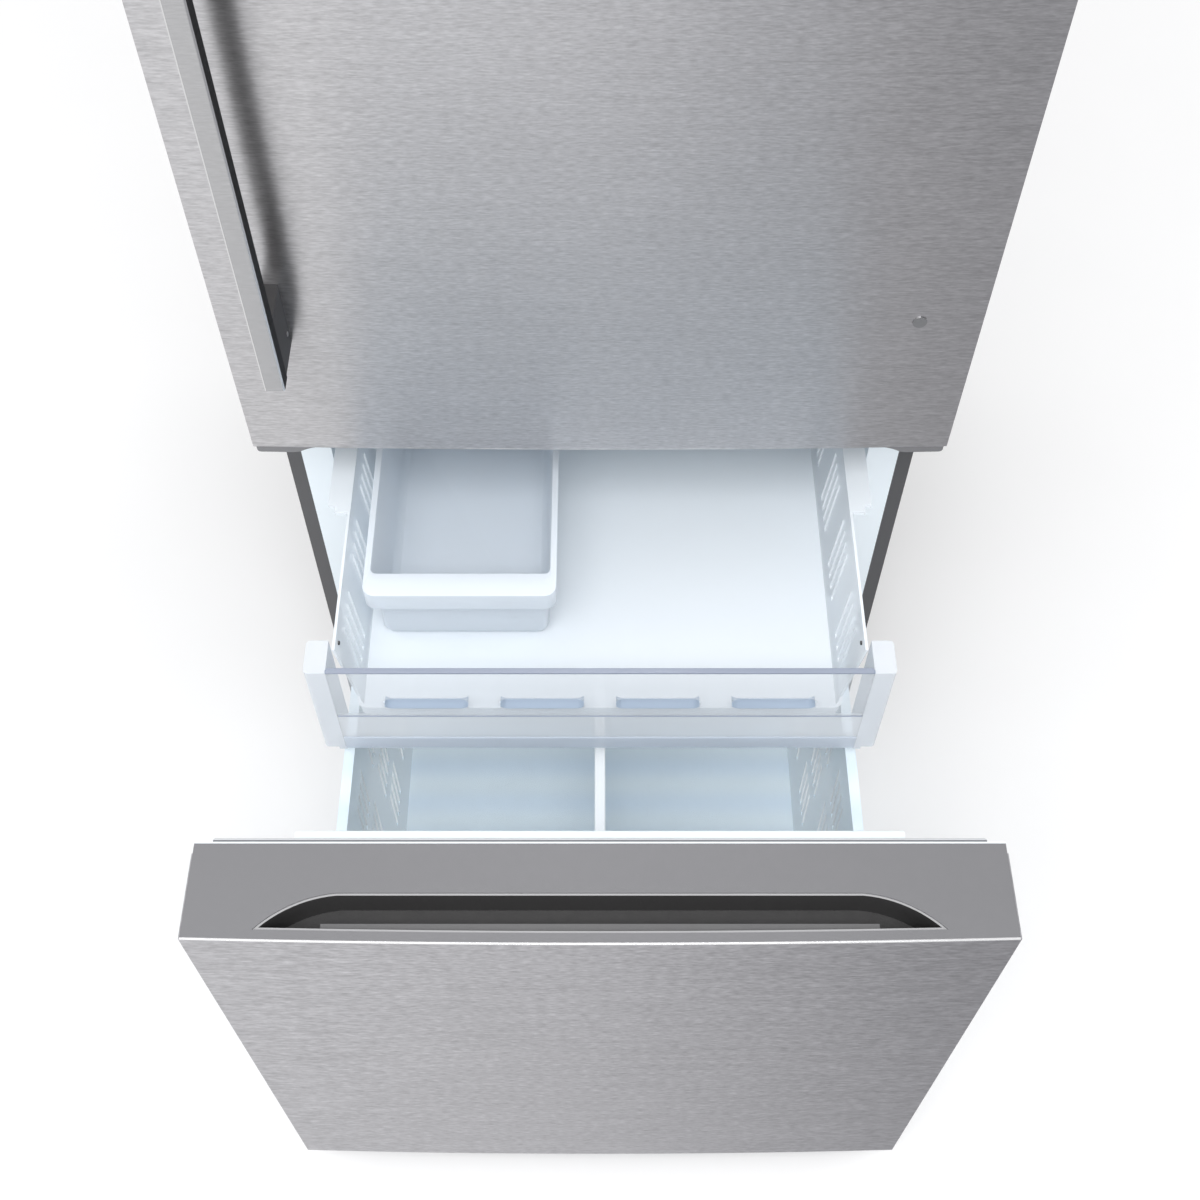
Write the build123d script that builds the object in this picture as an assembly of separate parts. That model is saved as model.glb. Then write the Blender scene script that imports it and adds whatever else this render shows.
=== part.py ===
from build123d import *

import math
import os

# Bottom freezer refrigerator, in millimetres. X is to the right, Y to the back and Z up, with the floor at
# z = 0. It is drawn with the cabinet's front plane at y = 0 and both doors closed. The drawer and tray are
# then pulled out as far as they stand at rest, and everything moves so that y = 0 is midway between the
# foremost and hindmost points.

# Cabinet
case_w = 756.0
case_d = 740.0
case_top = 1743.0
case_bottom = 38.0
sheet = 1.0
flange_w = 17.7
side_wall = 55.0
top_wall = 55.0
back_wall = 65.0
liner_t = 2.0
mullion_z = 790.5
mullion_h = 70.0
freezer_floor = 95.0
bottom_rail_h = 44.0
rail_t = 2.0

# Machine bay, low down at the back
bay_d = 200.0
bay_top = 250.0
bay_wall = 40.0

# Corner radius of the tubs, and how far a cut runs past the face that it opens
tub_round = 12.0
cut_over = 1.0

# Doors
door_t = 95.0
door_front = 107.0
door_bulge = 5.0
door_gap = 15.0
door_top_gap = 5.0
lower_z0 = 50.0
door_sheet = 1.0
skin_stop = 12.0
cap_h = 28.0
gasket_gap = 0.5
gasket_inset = 13.0
gasket_w = 18.0
gasket_rib_w = 8.0
gasket_base_t = 5.0
dyke_reach = 29.0
dyke_clear = 8.0
dyke_round = 4.0
upper_dyke_gap = 15.0
upper_dyke_w = 22.0
lower_dyke_gap = 31.0

# Drawer and tray travel from closed to rest
drawer_open = 557.0
tray_open = 347.0

# Bar handle and plain disc on the upper door
bar_from_side = 61.0
bar_w = 20.0
bar_d = 18.0
bar_gap = 50.0
bar_from_bottom = 166.0
bar_from_top = 158.0
bar_bevel = 1.5
post_h = 78.0
post_inset = 1.0
screw_r = 2.5
screw_in = 11.0
screw_up = 20.0
screw_len = 4.5
screw_in_post = 4.0
screw_fit = 0.1
screw_key_r = 1.2
screw_key_d = 2.5
disc_from_side = 63.0
disc_from_bottom = 193.0
disc_r = 7.0
disc_t = 1.2

# Upper door's bottom cap: ends that hang below the skin, and the hand clearance between them
hang = 10.0
hang_start = 76.0
hang_flat = 42.0
hang_stop = 3.0
hang_blend = 26.0
hang_round = 4.0
arch_h = 14.0
arch_round = 11.2
arch_d = 56.0
arch_wall = 3.0

# Finger pocket in the drawer's top cap
drawer_cap_h = 40.0
pocket_depth = 36.0
pocket_front = 9.0
pocket_back = 44.0
pocket_front_from_side = 65.0
pocket_back_from_side = 138.0
pocket_end_bow = 10.0
pocket_end_shift = 3.0
pocket_wall = 2.0
pocket_fit = 0.2
cup_below = 1.0
lip_from_side = 124.0
lip_d = 8.0
lip_drop = 12.0

# Hinges on the right
pivot_in = 20.0
pivot_y = -66.0
plate_t = 3.0
plate_gap = 1.0
pin_r = 4.0
pin_fit = 0.05
pin_in = 24.0
pin_end_gap = 1.0
arm_w = 34.0
arm_nose = 14.0
arm_inset = 4.0
tab_h = 12.0
top_arm_back = 110.0
hinge_screws = 3
hinge_screw_r = 5.0
hinge_screw_h = 3.0
hinge_screw_pitch = 30.0
hinge_screw_back = 20.0
cover_h = 30.0
cover_t = 2.5
cover_roof_t = 6.5
cover_round = 8.0
cover_margin = 10.0
cover_side_gap = 1.0

# Drawer slides, in three stages
slide_drop = 138.0
slide_h = 44.0
slide_t = 2.0
slide_w = 14.0
slide_fit = 0.4
slide_y0 = 8.0
slide_lead = 2.0
slide_back_gap = 6.0
slide_step = 6.0
bracket_up = 60.0
bracket_down = 20.0

# Lower basket and its divider
basket_y = 32.0
basket_back_gap = 38.0
basket_floor_gap = 61.0
basket_top_gap = 33.0
basket_side_gap = 29.0
basket_draft = 24.0
basket_front_draft = 10.0
basket_wall = 3.0
basket_lip = 9.0
basket_lip_d = 4.0
basket_lip_t = 5.0
basket_round = 10.0
carrier_in = 5.0
divider_t = 12.7
divider_gap = 2.0
divider_drop = 14.0
divider_round = 2.0
rest_gap = 0.3

# Slanted slots in the side walls of the basket and tray
slit_w = 6.0
slit_pitch = 16.0
slit_lean = 14.0
slit_start = 40.0
slits_in_group = 4
slit_group_pitch = 100.0
slit_groups = 4
slit_rows = 3
slit_row_pitch = 84.0
slit_row_z = 60.0
slit_h = 60.0
tray_slit_inset = 24.0
tray_slit_reach = 11.0

# Tray
tray_front = 22.0
tray_back_gap = 86.0
tray_drop = 58.5
tray_h = 116.0
tray_side_gap = 35.0
tray_draft = 18.0
tray_wall = 3.0
tray_front_wall = 18.0
tray_front_cut = 12.0
panel_drop = 15.0
panel_h = 166.0
panel_t = 4.0
panel_fit = 0.2
panel_round = 1.5
panel_side_gap = 27.0
vent_len = 96.0
vent_h = 21.0
vent_drop = 67.0
vent_pitch = 129.0
vent_count = 4
cap_w = 24.0
cap_d = 42.0
cap_drop = 2.0
cap_round = 5.0
hook_w = 9.0
hook_d = 12.0
hook_h = 13.0
runner_side_gap = 12.0
runner_t = 4.0
runner_setback = 204.0
notch_w = 8.0
notch_d = 10.0
rail_reach = 23.0
rail_fit = 0.3
rail_lip_t = 2.5
rail_web_t = 3.0
rail_y0 = 5.0

# Ice bin on the tray
bin_side_gap = 133.0
bin_half = 100.0
bin_draft = 8.0
bin_setback = 88.0
bin_len = 370.0
bin_above_rim = 2.0
bin_wall = 2.5
bin_rim = 7.0
bin_front_rim = 30.0
bin_lip_h = 31.0
bin_front_draft = 6.0

# Refrigerator compartment
shelf_t = 4.0
shelf_frame_w = 14.0
shelf_frame_h = 14.0
shelf_seat = 8.0
shelf_front = 130.0
shelf_back_gap = 22.0
shelf_side_gap = 11.0
shelf_pitch = 180.0
shelf_count = 3
ledge_w = 16.0
ledge_h = 8.0
ledge_setback = 20.0
crisper_h = 302.5
crisper_gap = 10.0
crisper_side_gap = 35.0
crisper_top_gap = 6.0
crisper_wall = 3.0
crisper_front_t = 8.0
crisper_front_up = 10.0
crisper_draft = 8.0
crisper_round = 2.0
grip_inset = 60.0
grip_d = 12.0
grip_h = 14.0
grip_drop = 12.0
grip_round = 5.0
duct_half = 110.0
duct_t = 8.0
duct_above_shelf = 32.0
duct_below_top = 38.0
duct_vent_x = 65.0
duct_vent_w = 44.0
duct_vent_h = 8.0
duct_vent_pitch = 70.0
duct_vent_start = 30.0
duct_round = 5.0
light_half = 90.0
light_d = 110.0
light_y = 190.0
light_t = 10.0
light_round = 5.0
control_half = 130.0
control_d = 90.0
control_y = 50.0
control_t = 12.0
control_round = 4.0
dimple_r = 9.0
dimple_d = 1.0
dimple_pitch = 48.0
dimple_count = 4

# Bins on the upper door
door_bin_first = 62.5
door_bin_pitch = 280.0
door_bin_count = 3
door_bin_h = 90.0
door_bin_reach = 110.0
door_bin_wall = 3.0
door_bin_fit = 0.3
door_bin_round = 18.0
lug_w = 6.0
lug_h = 8.0
lug_setback = 4.0

# Base, feet and rollers
base_t = 2.0
base_inset = 6.0
foot_from_side = 48.0
foot_y = 45.0
foot_r = 19.0
foot_h = 10.0
foot_bevel = 3.0
stem_r = 5.0
stem_fit = 0.1
foot_boss_r = 11.0
foot_boss_h = 12.0
roller_from_side = 48.0
roller_from_back = 60.0
roller_r = 18.0
roller_w = 16.0
axle_r = 3.0
axle_fit = 0.05
axle_stub = 1.0
cheek_t = 3.0
cheek_gap = 0.3
cheek_half = 15.0
cheek_below = 8.0
grille_y = 12.0
grille_t = 8.0
grille_z0 = 8.0
grille_margin = 20.0
grille_slots = 22
grille_slot_h = 14.0
grille_slot_share = 0.72

# Cooling system
comp_from_side = 188.0
comp_r = 68.0
comp_h = 150.0
comp_round = 22.0
comp_foot_h = 14.0
comp_foot_r = 9.0
comp_plate_t = 4.0
comp_plate_x = 75.0
comp_plate_y = 60.0
comp_foot_x = 62.0
comp_foot_y = 47.0
comp_seat = 40.0
stub_r = 4.0
stub_h = 22.0
stub_root = 8.0
stub_x = 25.0
stub_y = 20.0
cond_from_side = 163.0
cond_w = 190.0
cond_h = 130.0
cond_d = 120.0
cond_fan_gap = 60.0
fan_r = 58.0
fan_hub_r = 18.0
fan_t = 18.0
fan_blades = 5
blade_w = 30.0
blade_root = 4.0
blade_t = 2.5
blade_pitch = 24.0
fan_clear = 6.0
fan_setback = 4.0
fan_from_base = 8.0
motor_r = 22.0
motor_len = 34.0
motor_gap = 1.0
motor_boss_r = 14.0
motor_foot_w = 24.0
motor_foot_t = 6.0
shaft_r = 3.0
shaft_fit = 0.05
shaft_len = 14.0
evap_h = 229.7
evap_d = 42.0
evap_side_gap = 83.0
evap_behind_cover = 14.0
evap_cover_from_back = 87.0
evap_cover_t = 3.0
evap_cover_fit = 1.0
evap_cover_edge = 3.0
evap_fan_drop = 100.5
guard_bar = 4.0
guard_rings = 3
guard_first_r = 18.0
guard_ring_pitch = 16.0
cold_vents = 8
cold_vent_w = 48.0
cold_vent_h = 10.0
cold_vent_pitch = 64.0
cold_vent_up = 30.0
fin_pitch = 16.0
fin_t = 1.5
tube_r = 4.0
tube_pitch = 32.0
tube_row_gap = 17.6
tube_end = 5.0
pan_w = 60.0
pan_h = 26.0
pan_wall = 2.0
pan_gap = 15.0
pan_front = 10.0
pan_back = 30.0
rear_vents = 12
rear_vent_w = 6.0
rear_vent_first = 87.0
rear_vent_pitch = 20.0
rear_vent_margin = 50.0

# Places that follow from the sizes above
half = case_w / 2
liner_half = half - side_wall
fridge_floor = mullion_z + mullion_h / 2
freezer_top = mullion_z - mullion_h / 2
fridge_top = case_top - top_wall
liner_back = case_d - back_wall
step_y = case_d - bay_d - bay_wall
step_z = bay_top + bay_wall
bay_y = case_d - bay_d / 2
base_top = case_bottom + base_t
bottom_lip = freezer_floor - case_bottom - bottom_rail_h
door_back = door_t - door_front
panel_face = -door_front
upper_z0 = mullion_z + door_gap / 2
upper_z1 = case_top - door_top_gap
lower_z1 = mullion_z - door_gap / 2
upper_dyke_half = liner_half - upper_dyke_gap
lower_dyke_half = liner_half - lower_dyke_gap
bar_x = bar_from_side - half
bar_z0 = upper_z0 + bar_from_bottom
bar_z1 = upper_z1 - bar_from_top
post_x = bar_x + bar_w / 2 - post_inset
disc_x = half - disc_from_side
disc_z = upper_z0 + disc_from_bottom
pivot_x = half - pivot_in
evap_cover_y = liner_back - evap_cover_from_back
evap_y = evap_cover_y + evap_behind_cover
evap_z0 = step_z + rest_gap
evap_z1 = evap_z0 + evap_h
evap_half = liner_half - evap_side_gap
evap_fan_z = freezer_top - evap_fan_drop
tray_rim = freezer_top - tray_drop
tray_z0 = tray_rim - tray_h
tray_half_top = liner_half - tray_side_gap
tray_len = evap_cover_y - tray_back_gap - tray_front
panel_z1 = tray_rim - panel_drop
panel_z0 = panel_z1 - panel_h
panel_half = liner_half - panel_side_gap
basket_z0 = freezer_floor + basket_floor_gap
basket_z1 = panel_z0 - basket_top_gap
basket_d = step_y - basket_back_gap - basket_y
basket_half_top = liner_half - basket_side_gap
basket_half_bottom = basket_half_top - basket_draft
slide_z = basket_z1 - slide_drop
slide_end = evap_cover_y - slide_back_gap
step_in = slide_t + slide_fit
bin_x = bin_side_gap - tray_half_top
bin_rim_z = tray_rim + bin_above_rim
crisper_shelf_z = fridge_floor + crisper_h
shelf_back = liner_back - shelf_back_gap
foot_x = half - foot_from_side
roller_x = half - roller_from_side
roller_y = case_d - roller_from_back
comp_x = half - comp_from_side
cond_x = cond_from_side - half
foremost = door_front + door_bulge + drawer_open
rest_shift = (foremost - case_d) / 2


def block(x0, x1, y0, y1, z0, z1):
    """Box between two corners."""
    size = (x1 - x0, y1 - y0, z1 - z0)
    return Pos((x0 + x1) / 2, (y0 + y1) / 2, (z0 + z1) / 2) * Box(*size)


def both_sides(shape):
    """The shape and its mirror image about x = 0."""
    return [shape, mirror(shape, Plane.YZ)]


def one(shapes):
    """One shape from several that meet or overlap."""
    whole = shapes[0]
    for shape in shapes[1:]:
        whole = whole + shape
    return whole


def cylinder(radius, length, x, y, z, axis="Z"):
    """Round bar that starts at the point given and runs along the axis."""
    bar = extrude(Circle(radius), amount=length)
    turn = {"X": Rot(0, 90, 0), "Y": Rot(-90, 0, 0), "Z": Rot(0, 0, 0)}[axis]
    return Pos(x, y, z) * turn * bar


def save(name, shapes, forward=0.0):
    """Write one node, pulled forward by its travel at rest."""
    placed = [Pos(0, rest_shift - forward, 0) * shape for shape in shapes]
    solids = [solid for shape in placed for solid in shape.solids()]
    node = solids[0] if len(solids) == 1 else Compound(children=solids)
    export_step(node, f"parts/{name}.step")


def door_plan(inset, y_back):
    """Plan of a door inside its skin, with the front face bowed outward."""
    x = half - inset
    front = panel_face + inset
    outline = [
        Line((-x, y_back), (-x, front)),
        ThreePointArc((-x, front), (0, front - door_bulge), (x, front)),
        Line((x, front), (x, y_back)),
        Line((x, y_back), (-x, y_back)),
    ]
    return make_face(Wire(outline))


def door_slab(inset, y_back, z0, z1):
    """Upright slab with a door's plan."""
    return Pos(0, 0, z0) * extrude(door_plan(inset, y_back), amount=z1 - z0)


def tub(x0, x1, y0, y1, z0, z1, draft, wall, front_draft=0.0):
    """Open tub whose side walls lean out towards the rim. The sizes given are the rim's outside."""

    def shell_part(inset, low, high):
        share = (z1 - low) / (z1 - z0)
        lean = draft * share
        nose = front_draft * share
        depth = y1 - y0 - 2 * inset
        floor = Pos((x0 + x1) / 2, (y0 + y1 + nose) / 2, low) * RectangleRounded(
            x1 - x0 - 2 * inset - 2 * lean, depth - nose, tub_round
        )
        rim = Pos((x0 + x1) / 2, (y0 + y1) / 2, high) * RectangleRounded(
            x1 - x0 - 2 * inset, depth, tub_round
        )
        return loft([floor.face(), rim.face()], ruled=True)

    return shell_part(0, z0, z1) - shell_part(wall, z0 + wall, z1)


# Cabinet -----------------------------------------------------------------------------------------


def cabinet_shell():
    """Painted wrapper: two sides and a top, with a flange turned in round the front."""
    outer = block(-half, half, 0, case_d, case_bottom, case_top)
    inner_x = half - sheet
    hollow = block(-inner_x, inner_x, sheet, case_d, case_bottom, case_top - sheet)
    window = block(-(half - flange_w), half - flange_w, 0, sheet, case_bottom, case_top - flange_w)
    return [outer - hollow - window]


def back_panel():
    x = half - sheet
    return [block(-x, x, case_d - sheet, case_d, bay_top, case_top - sheet)]


def foam_blocks():
    """Foam between shell and liners, as blocks that meet face to face."""
    x = half - sheet
    inner = liner_half + liner_t
    back = case_d - sheet
    top = case_top - sheet
    low = freezer_floor - liner_t
    blocks = both_sides(block(inner, x, liner_t, back, base_top, top))
    blocks += [
        block(-inner, inner, liner_t, back, fridge_top + liner_t, top),
        block(-inner, inner, rail_t, liner_back + liner_t, freezer_top + liner_t, fridge_floor - liner_t),
        block(-inner, inner, liner_back + liner_t, back, step_z - liner_t, fridge_top + liner_t),
        block(-inner, inner, rail_t, step_y + liner_t, base_top, low),
        block(-inner, inner, step_y + liner_t, case_d - bay_d, base_top, bay_top),
        block(-inner, inner, step_y + liner_t, back, bay_top, step_z - liner_t),
    ]
    return blocks


def liner(z0, z1, y_back, lip_up, lip_down):
    """White lining of one compartment, with a lip that turns out over the front."""
    inner = block(-liner_half, liner_half, 0, y_back, z0, z1)
    skin_x = liner_half + liner_t
    outer = block(-skin_x, skin_x, 0, y_back + liner_t, z0 - liner_t, z1 + liner_t)
    edge = half - flange_w
    lip = block(-edge, edge, 0, liner_t, z0 - lip_down, z1 + lip_up)
    return outer + lip - inner


def fridge_liner():
    lip_up = top_wall - flange_w
    whole = liner(fridge_floor, fridge_top, liner_back, lip_up, liner_t)
    for z in shelf_levels():
        for ledge in both_sides(shelf_ledge(z)):
            whole = whole + ledge
    return [whole]


def shelf_ledge(z):
    """Ledge on a side wall that a shelf's frame rests on."""
    top = z - shelf_frame_h
    y0 = shelf_front + ledge_setback
    return block(liner_half - ledge_w, liner_half, y0, shelf_back, top - ledge_h, top)


def freezer_liner():
    whole = liner(freezer_floor, freezer_top, liner_back, liner_t, bottom_lip)
    skin_x = liner_half + liner_t
    step_outer = block(-skin_x, skin_x, step_y, liner_back + liner_t, freezer_floor - liner_t, step_z)
    step_space = block(
        -skin_x, skin_x, step_y + liner_t, liner_back + liner_t, freezer_floor - liner_t, step_z - liner_t
    )
    return [whole + step_outer - step_space]


def mullion_bar():
    """Painted cross bar on the front between the two compartments."""
    x = half - flange_w
    return [block(-x, x, 0, rail_t, freezer_top + liner_t, fridge_floor - liner_t)]


def base_frame():
    """Steel pan under the cabinet, with a front rail, bosses for the feet and cheeks for the rollers."""
    x = half - base_inset
    pan = block(-x, x, rail_t, case_d - sheet, case_bottom, base_top)
    rail_x = half - flange_w
    frame = pan + block(-rail_x, rail_x, 0, rail_t, case_bottom, case_bottom + bottom_rail_h)
    for side in (-1, 1):
        boss_z = case_bottom - foot_boss_h
        frame = frame + cylinder(foot_boss_r, foot_boss_h, side * foot_x, foot_y, boss_z)
        depth = foot_boss_h + base_t
        frame = frame - cylinder(stem_r + stem_fit, depth, side * foot_x, foot_y, boss_z)
        for edge in (-1, 1):
            middle = side * roller_x + edge * (roller_w / 2 + cheek_gap + cheek_t / 2)
            frame = frame + block(
                middle - cheek_t / 2,
                middle + cheek_t / 2,
                roller_y - cheek_half,
                roller_y + cheek_half,
                roller_r - cheek_below,
                case_bottom,
            )
        frame = frame - cylinder(axle_r, 2 * roller_w, side * roller_x - roller_w, roller_y, roller_r, "X")
    return [frame]


def toe_grille():
    """Dark grille across the foot of the cabinet, with a row of slots."""
    x = half - base_inset
    y0, y1 = grille_y, grille_y + grille_t
    plate = block(-x, x, y0, y1, grille_z0, case_bottom)
    pitch = 2 * (x - grille_margin) / grille_slots
    reach = pitch * grille_slot_share / 2
    z0 = (grille_z0 + case_bottom - grille_slot_h) / 2
    for i in range(grille_slots):
        middle = grille_margin - x + pitch * (i + 0.5)
        plate = plate - block(middle - reach, middle + reach, y0, y1, z0, z0 + grille_slot_h)
    return [plate]


def levelling_foot(side):
    """Threaded foot, screwed up into the base frame."""
    pad = cylinder(foot_r, foot_h, side * foot_x, foot_y, 0)
    pad = chamfer(pad.edges().group_by(Axis.Z)[-1], foot_bevel)
    stem = cylinder(stem_r, case_bottom - foot_h, side * foot_x, foot_y, foot_h)
    return [pad + stem]


def roller(side):
    """Wheel under the cabinet's back."""
    x0 = side * roller_x - roller_w / 2
    wheel = cylinder(roller_r, roller_w, x0, roller_y, roller_r, "X")
    return [wheel - cylinder(axle_r + axle_fit, roller_w, x0, roller_y, roller_r, "X")]


def roller_axles():
    reach = roller_w / 2 + cheek_gap + cheek_t + axle_stub
    return [
        cylinder(axle_r, 2 * reach, side * roller_x - reach, roller_y, roller_r, "X") for side in (-1, 1)
    ]


# Hinges ------------------------------------------------------------------------------------------


def middle_hinge():
    """Plate between the doors with the upper door's lower pin on it, and a tab on the mullion bar."""
    z1 = upper_z0 - hang - plate_gap
    z0 = z1 - plate_t
    x0 = half - flange_w - arm_w
    x1 = half - arm_inset
    arm = block(x0, x1, -plate_t, 0, z0, z1 + tab_h)
    arm = arm + block(pivot_x - arm_w / 2, x1, pivot_y - arm_nose, 0, z0, z1)
    collar = cylinder(2 * pin_r, plate_gap - rest_gap, pivot_x, pivot_y, z1)
    pin = cylinder(pin_r, pin_in + plate_gap, pivot_x, pivot_y, z1)
    return [arm + collar + pin]


def top_hinge():
    """Plate on the cabinet's top that reaches over the upper door, with a pin down into it."""
    z0 = case_top
    x0, x1 = pivot_x - arm_w, half - arm_inset
    plate = block(x0, x1, pivot_y - arm_nose, top_arm_back, z0, z0 + plate_t)
    pin = cylinder(pin_r, door_top_gap + pin_in, pivot_x, pivot_y, upper_z1 - pin_in)
    screws = []
    for i in range(hinge_screws):
        y = top_arm_back - hinge_screw_back - i * hinge_screw_pitch
        screws.append(cylinder(hinge_screw_r, hinge_screw_h, (x0 + x1) / 2, y, z0 + plate_t))
    return [one([plate, pin] + screws)]


def top_hinge_cover():
    """Plastic cover over the top hinge."""
    x0, x1 = pivot_x - arm_w - cover_margin, half - cover_side_gap
    y0, y1 = pivot_y - arm_nose - cover_side_gap - cover_t, top_arm_back + cover_margin
    outer = block(x0, x1, y0, y1, case_top, case_top + cover_h)
    outer = fillet(outer.edges().filter_by(Axis.Z) + outer.edges().group_by(Axis.Z)[-1], cover_round)
    inner = block(
        x0 + cover_t, x1 - cover_t, y0 + cover_t, y1 - cover_t, case_top, case_top + cover_h - cover_roof_t
    )
    return [outer - inner]


def pin_socket(z0):
    """Bore in a door cap that a hinge pin turns in."""
    return cylinder(pin_r + pin_fit, pin_in + pin_end_gap, pivot_x, pivot_y, z0)


# Upper door --------------------------------------------------------------------------------------


def door_skin(z0, z1):
    """Steel face of a door, folded back along both sides."""
    outer = door_slab(0, door_back - skin_stop, z0, z1)
    return [outer - door_slab(door_sheet, door_back - skin_stop, z0, z1)]


def plate_z(z0, z1):
    """Height of the two ends of a door's inner parts."""
    return z0 + cap_h, z1 - cap_h


def door_cap_top():
    cap = door_slab(door_sheet, door_back - liner_t, upper_z1 - cap_h, upper_z1)
    return [cap - pin_socket(upper_z1 - pin_in - pin_end_gap)]


def door_cap_bottom():
    """Grey cap under the upper door. Its ends hang below the skin and its middle is arched for a hand."""
    y_back = door_back - liner_t
    cap = door_slab(door_sheet, y_back, upper_z0, upper_z0 + cap_h)
    start = half - hang_start
    dip = start + hang_blend
    flat = half - hang_flat
    stop = half - hang_stop
    low = upper_z0 - hang
    dip_z = upper_z0 - hang * 0.86
    round_in = hang_round * (1 - math.sqrt(0.5))
    profile = make_face(
        Wire(
            [
                Line((stop, upper_z0), (start, upper_z0)),
                ThreePointArc(
                    (start, upper_z0), (start + hang_blend * 0.6, upper_z0 - hang * 0.32), (dip, dip_z)
                ),
                Line((dip, dip_z), (flat, low)),
                Line((flat, low), (stop - hang_round, low)),
                ThreePointArc(
                    (stop - hang_round, low), (stop - round_in, low + round_in), (stop, low + hang_round)
                ),
                Line((stop, low + hang_round), (stop, upper_z0)),
            ]
        )
    )
    end = extrude(Plane.XZ * profile, amount=2 * door_t, both=True)
    end = end & door_slab(door_sheet, y_back, low, upper_z0)
    for shape in both_sides(end):
        cap = cap + shape
    arch_front = panel_face + door_sheet + arch_wall
    arch = block(-start, start, arch_front, panel_face + arch_d, upper_z0, upper_z0 + arch_h)
    arch = fillet(arch.edges().filter_by(Axis.Y).group_by(Axis.Z)[-1], arch_round)
    return [cap - arch - pin_socket(low)]


def upper_foam():
    z0, z1 = plate_z(upper_z0, upper_z1)
    slab = door_slab(door_sheet, door_back - liner_t, z0, z1)
    return [slab] + dyke_bars(liner_t)


def dyke_bars(inset):
    """The four bars of the ridge on the upper door's liner, each smaller by the inset."""
    z0, z1 = fridge_floor + dyke_clear, fridge_top - dyke_clear
    y0, y1 = door_back - liner_t, door_back + dyke_reach - inset
    outer, inner = upper_dyke_half - inset, upper_dyke_half - upper_dyke_w + inset
    low, high = z0 + inset, z1 - inset
    width = upper_dyke_w - 2 * inset
    bars = both_sides(block(inner, outer, y0, y1, low, high))
    bars.append(block(-inner, inner, y0, y1, low, low + width))
    bars.append(block(-inner, inner, y0, y1, high - width, high))
    return bars


def door_liner():
    """White back of the upper door, with the ridge that the bins sit in."""
    x = half - door_sheet
    z0, z1 = upper_z0 + door_sheet, upper_z1 - door_sheet
    plate = block(-x, x, door_back - liner_t, door_back, z0, z1)
    plate = one([plate] + dyke_bars(0))
    for bar in dyke_bars(liner_t):
        plate = plate - bar
    for z in door_bin_levels():
        for lug in both_sides(bin_lug(z)):
            plate = plate + lug
    return [plate]


def door_bin_levels():
    """Undersides of the door's bins, from the lowest up."""
    return [fridge_floor + door_bin_first + i * door_bin_pitch for i in range(door_bin_count)]


def bin_lug(z):
    """Lug on the inside of the ridge, under a bin's side."""
    x1 = upper_dyke_half - upper_dyke_w
    return block(x1 - lug_w, x1, door_back, door_back + dyke_reach - lug_setback, z - lug_h, z)


def door_bins():
    x = upper_dyke_half - upper_dyke_w - door_bin_fit
    bins = []
    for z in door_bin_levels():
        outer = block(-x, x, door_back, door_back + door_bin_reach, z, z + door_bin_h)
        outer = fillet(outer.edges().filter_by(Axis.Z).group_by(Axis.Y)[-1], door_bin_round)
        inner = block(
            -x + door_bin_wall,
            x - door_bin_wall,
            door_back + door_bin_wall,
            door_back + door_bin_reach - door_bin_wall,
            z + door_bin_wall,
            z + door_bin_h,
        )
        round_inside = door_bin_round - door_bin_wall
        inner = fillet(inner.edges().filter_by(Axis.Z).group_by(Axis.Y)[-1], round_inside)
        bins.append(outer - inner)
    return bins


def gasket(z0, z1):
    """Magnetic seal round the back of a door: a base strip with two ribs on it."""

    def ring(outside, width, y0, y1):
        x = half - outside
        low, high = z0 + outside, z1 - outside
        whole = block(-x, x, y0, y1, low, high)
        return whole - block(-x + width, x - width, y0, y1, low + width, high - width)

    base = ring(gasket_inset, gasket_w, door_back, door_back + gasket_base_t)
    outer = ring(gasket_inset, gasket_rib_w, door_back + gasket_base_t, -gasket_gap)
    inner = ring(
        gasket_inset + gasket_w - gasket_rib_w, gasket_rib_w, door_back + gasket_base_t, -gasket_gap
    )
    return [base + outer + inner]


def handle_bar():
    """Straight bar of the handle, with a small bevel along each long edge."""
    y1 = panel_face - bar_gap
    bar = block(bar_x - bar_w / 2, bar_x + bar_w / 2, y1 - bar_d, y1, bar_z0, bar_z1)
    return [chamfer(bar.edges().filter_by(Axis.Z).group_by(Axis.Y)[0], bar_bevel)]


def post_levels():
    """Lower end and set screw level of each post."""
    upper = bar_z1 - post_h
    return [(bar_z0, bar_z0 + screw_up), (upper, bar_z1 - screw_up)]


def handle_posts():
    """Posts that carry the bar, shaped to the door's bowed face."""
    face = door_slab(0, door_back, upper_z0, upper_z1)
    posts = []
    for z0, screw_z in post_levels():
        x0 = 2 * bar_x - post_x
        post = block(x0, post_x, panel_face - bar_gap, panel_face + door_bulge, z0, z0 + post_h)
        x1 = post_x - screw_in_post
        hole = cylinder(screw_r + screw_fit, bar_w, x1, panel_face - screw_in, screw_z, "X")
        posts.append(post - face - hole)
    return posts


def handle_set_screws():
    screws = []
    for z0, screw_z in post_levels():
        x, y = post_x - screw_in_post, panel_face - screw_in
        body = cylinder(screw_r, screw_len, x, y, screw_z, "X")
        key = extrude(RegularPolygon(screw_key_r, 6), amount=screw_key_d, both=True)
        screws.append(body - Pos(x + screw_len, y, screw_z) * Rot(0, 90, 0) * key)
    return screws


def badge_disc():
    """Plain round disc, curved to the door's face."""
    reach = door_bulge + disc_t
    disc = cylinder(disc_r, 2 * reach, disc_x, panel_face - reach, disc_z, "Y")
    z0, z1 = disc_z - 2 * disc_r, disc_z + 2 * disc_r
    return [(disc & door_slab(-disc_t, door_back, z0, z1)) - door_slab(0, door_back, z0, z1)]


# Freezer drawer ----------------------------------------------------------------------------------


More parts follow.
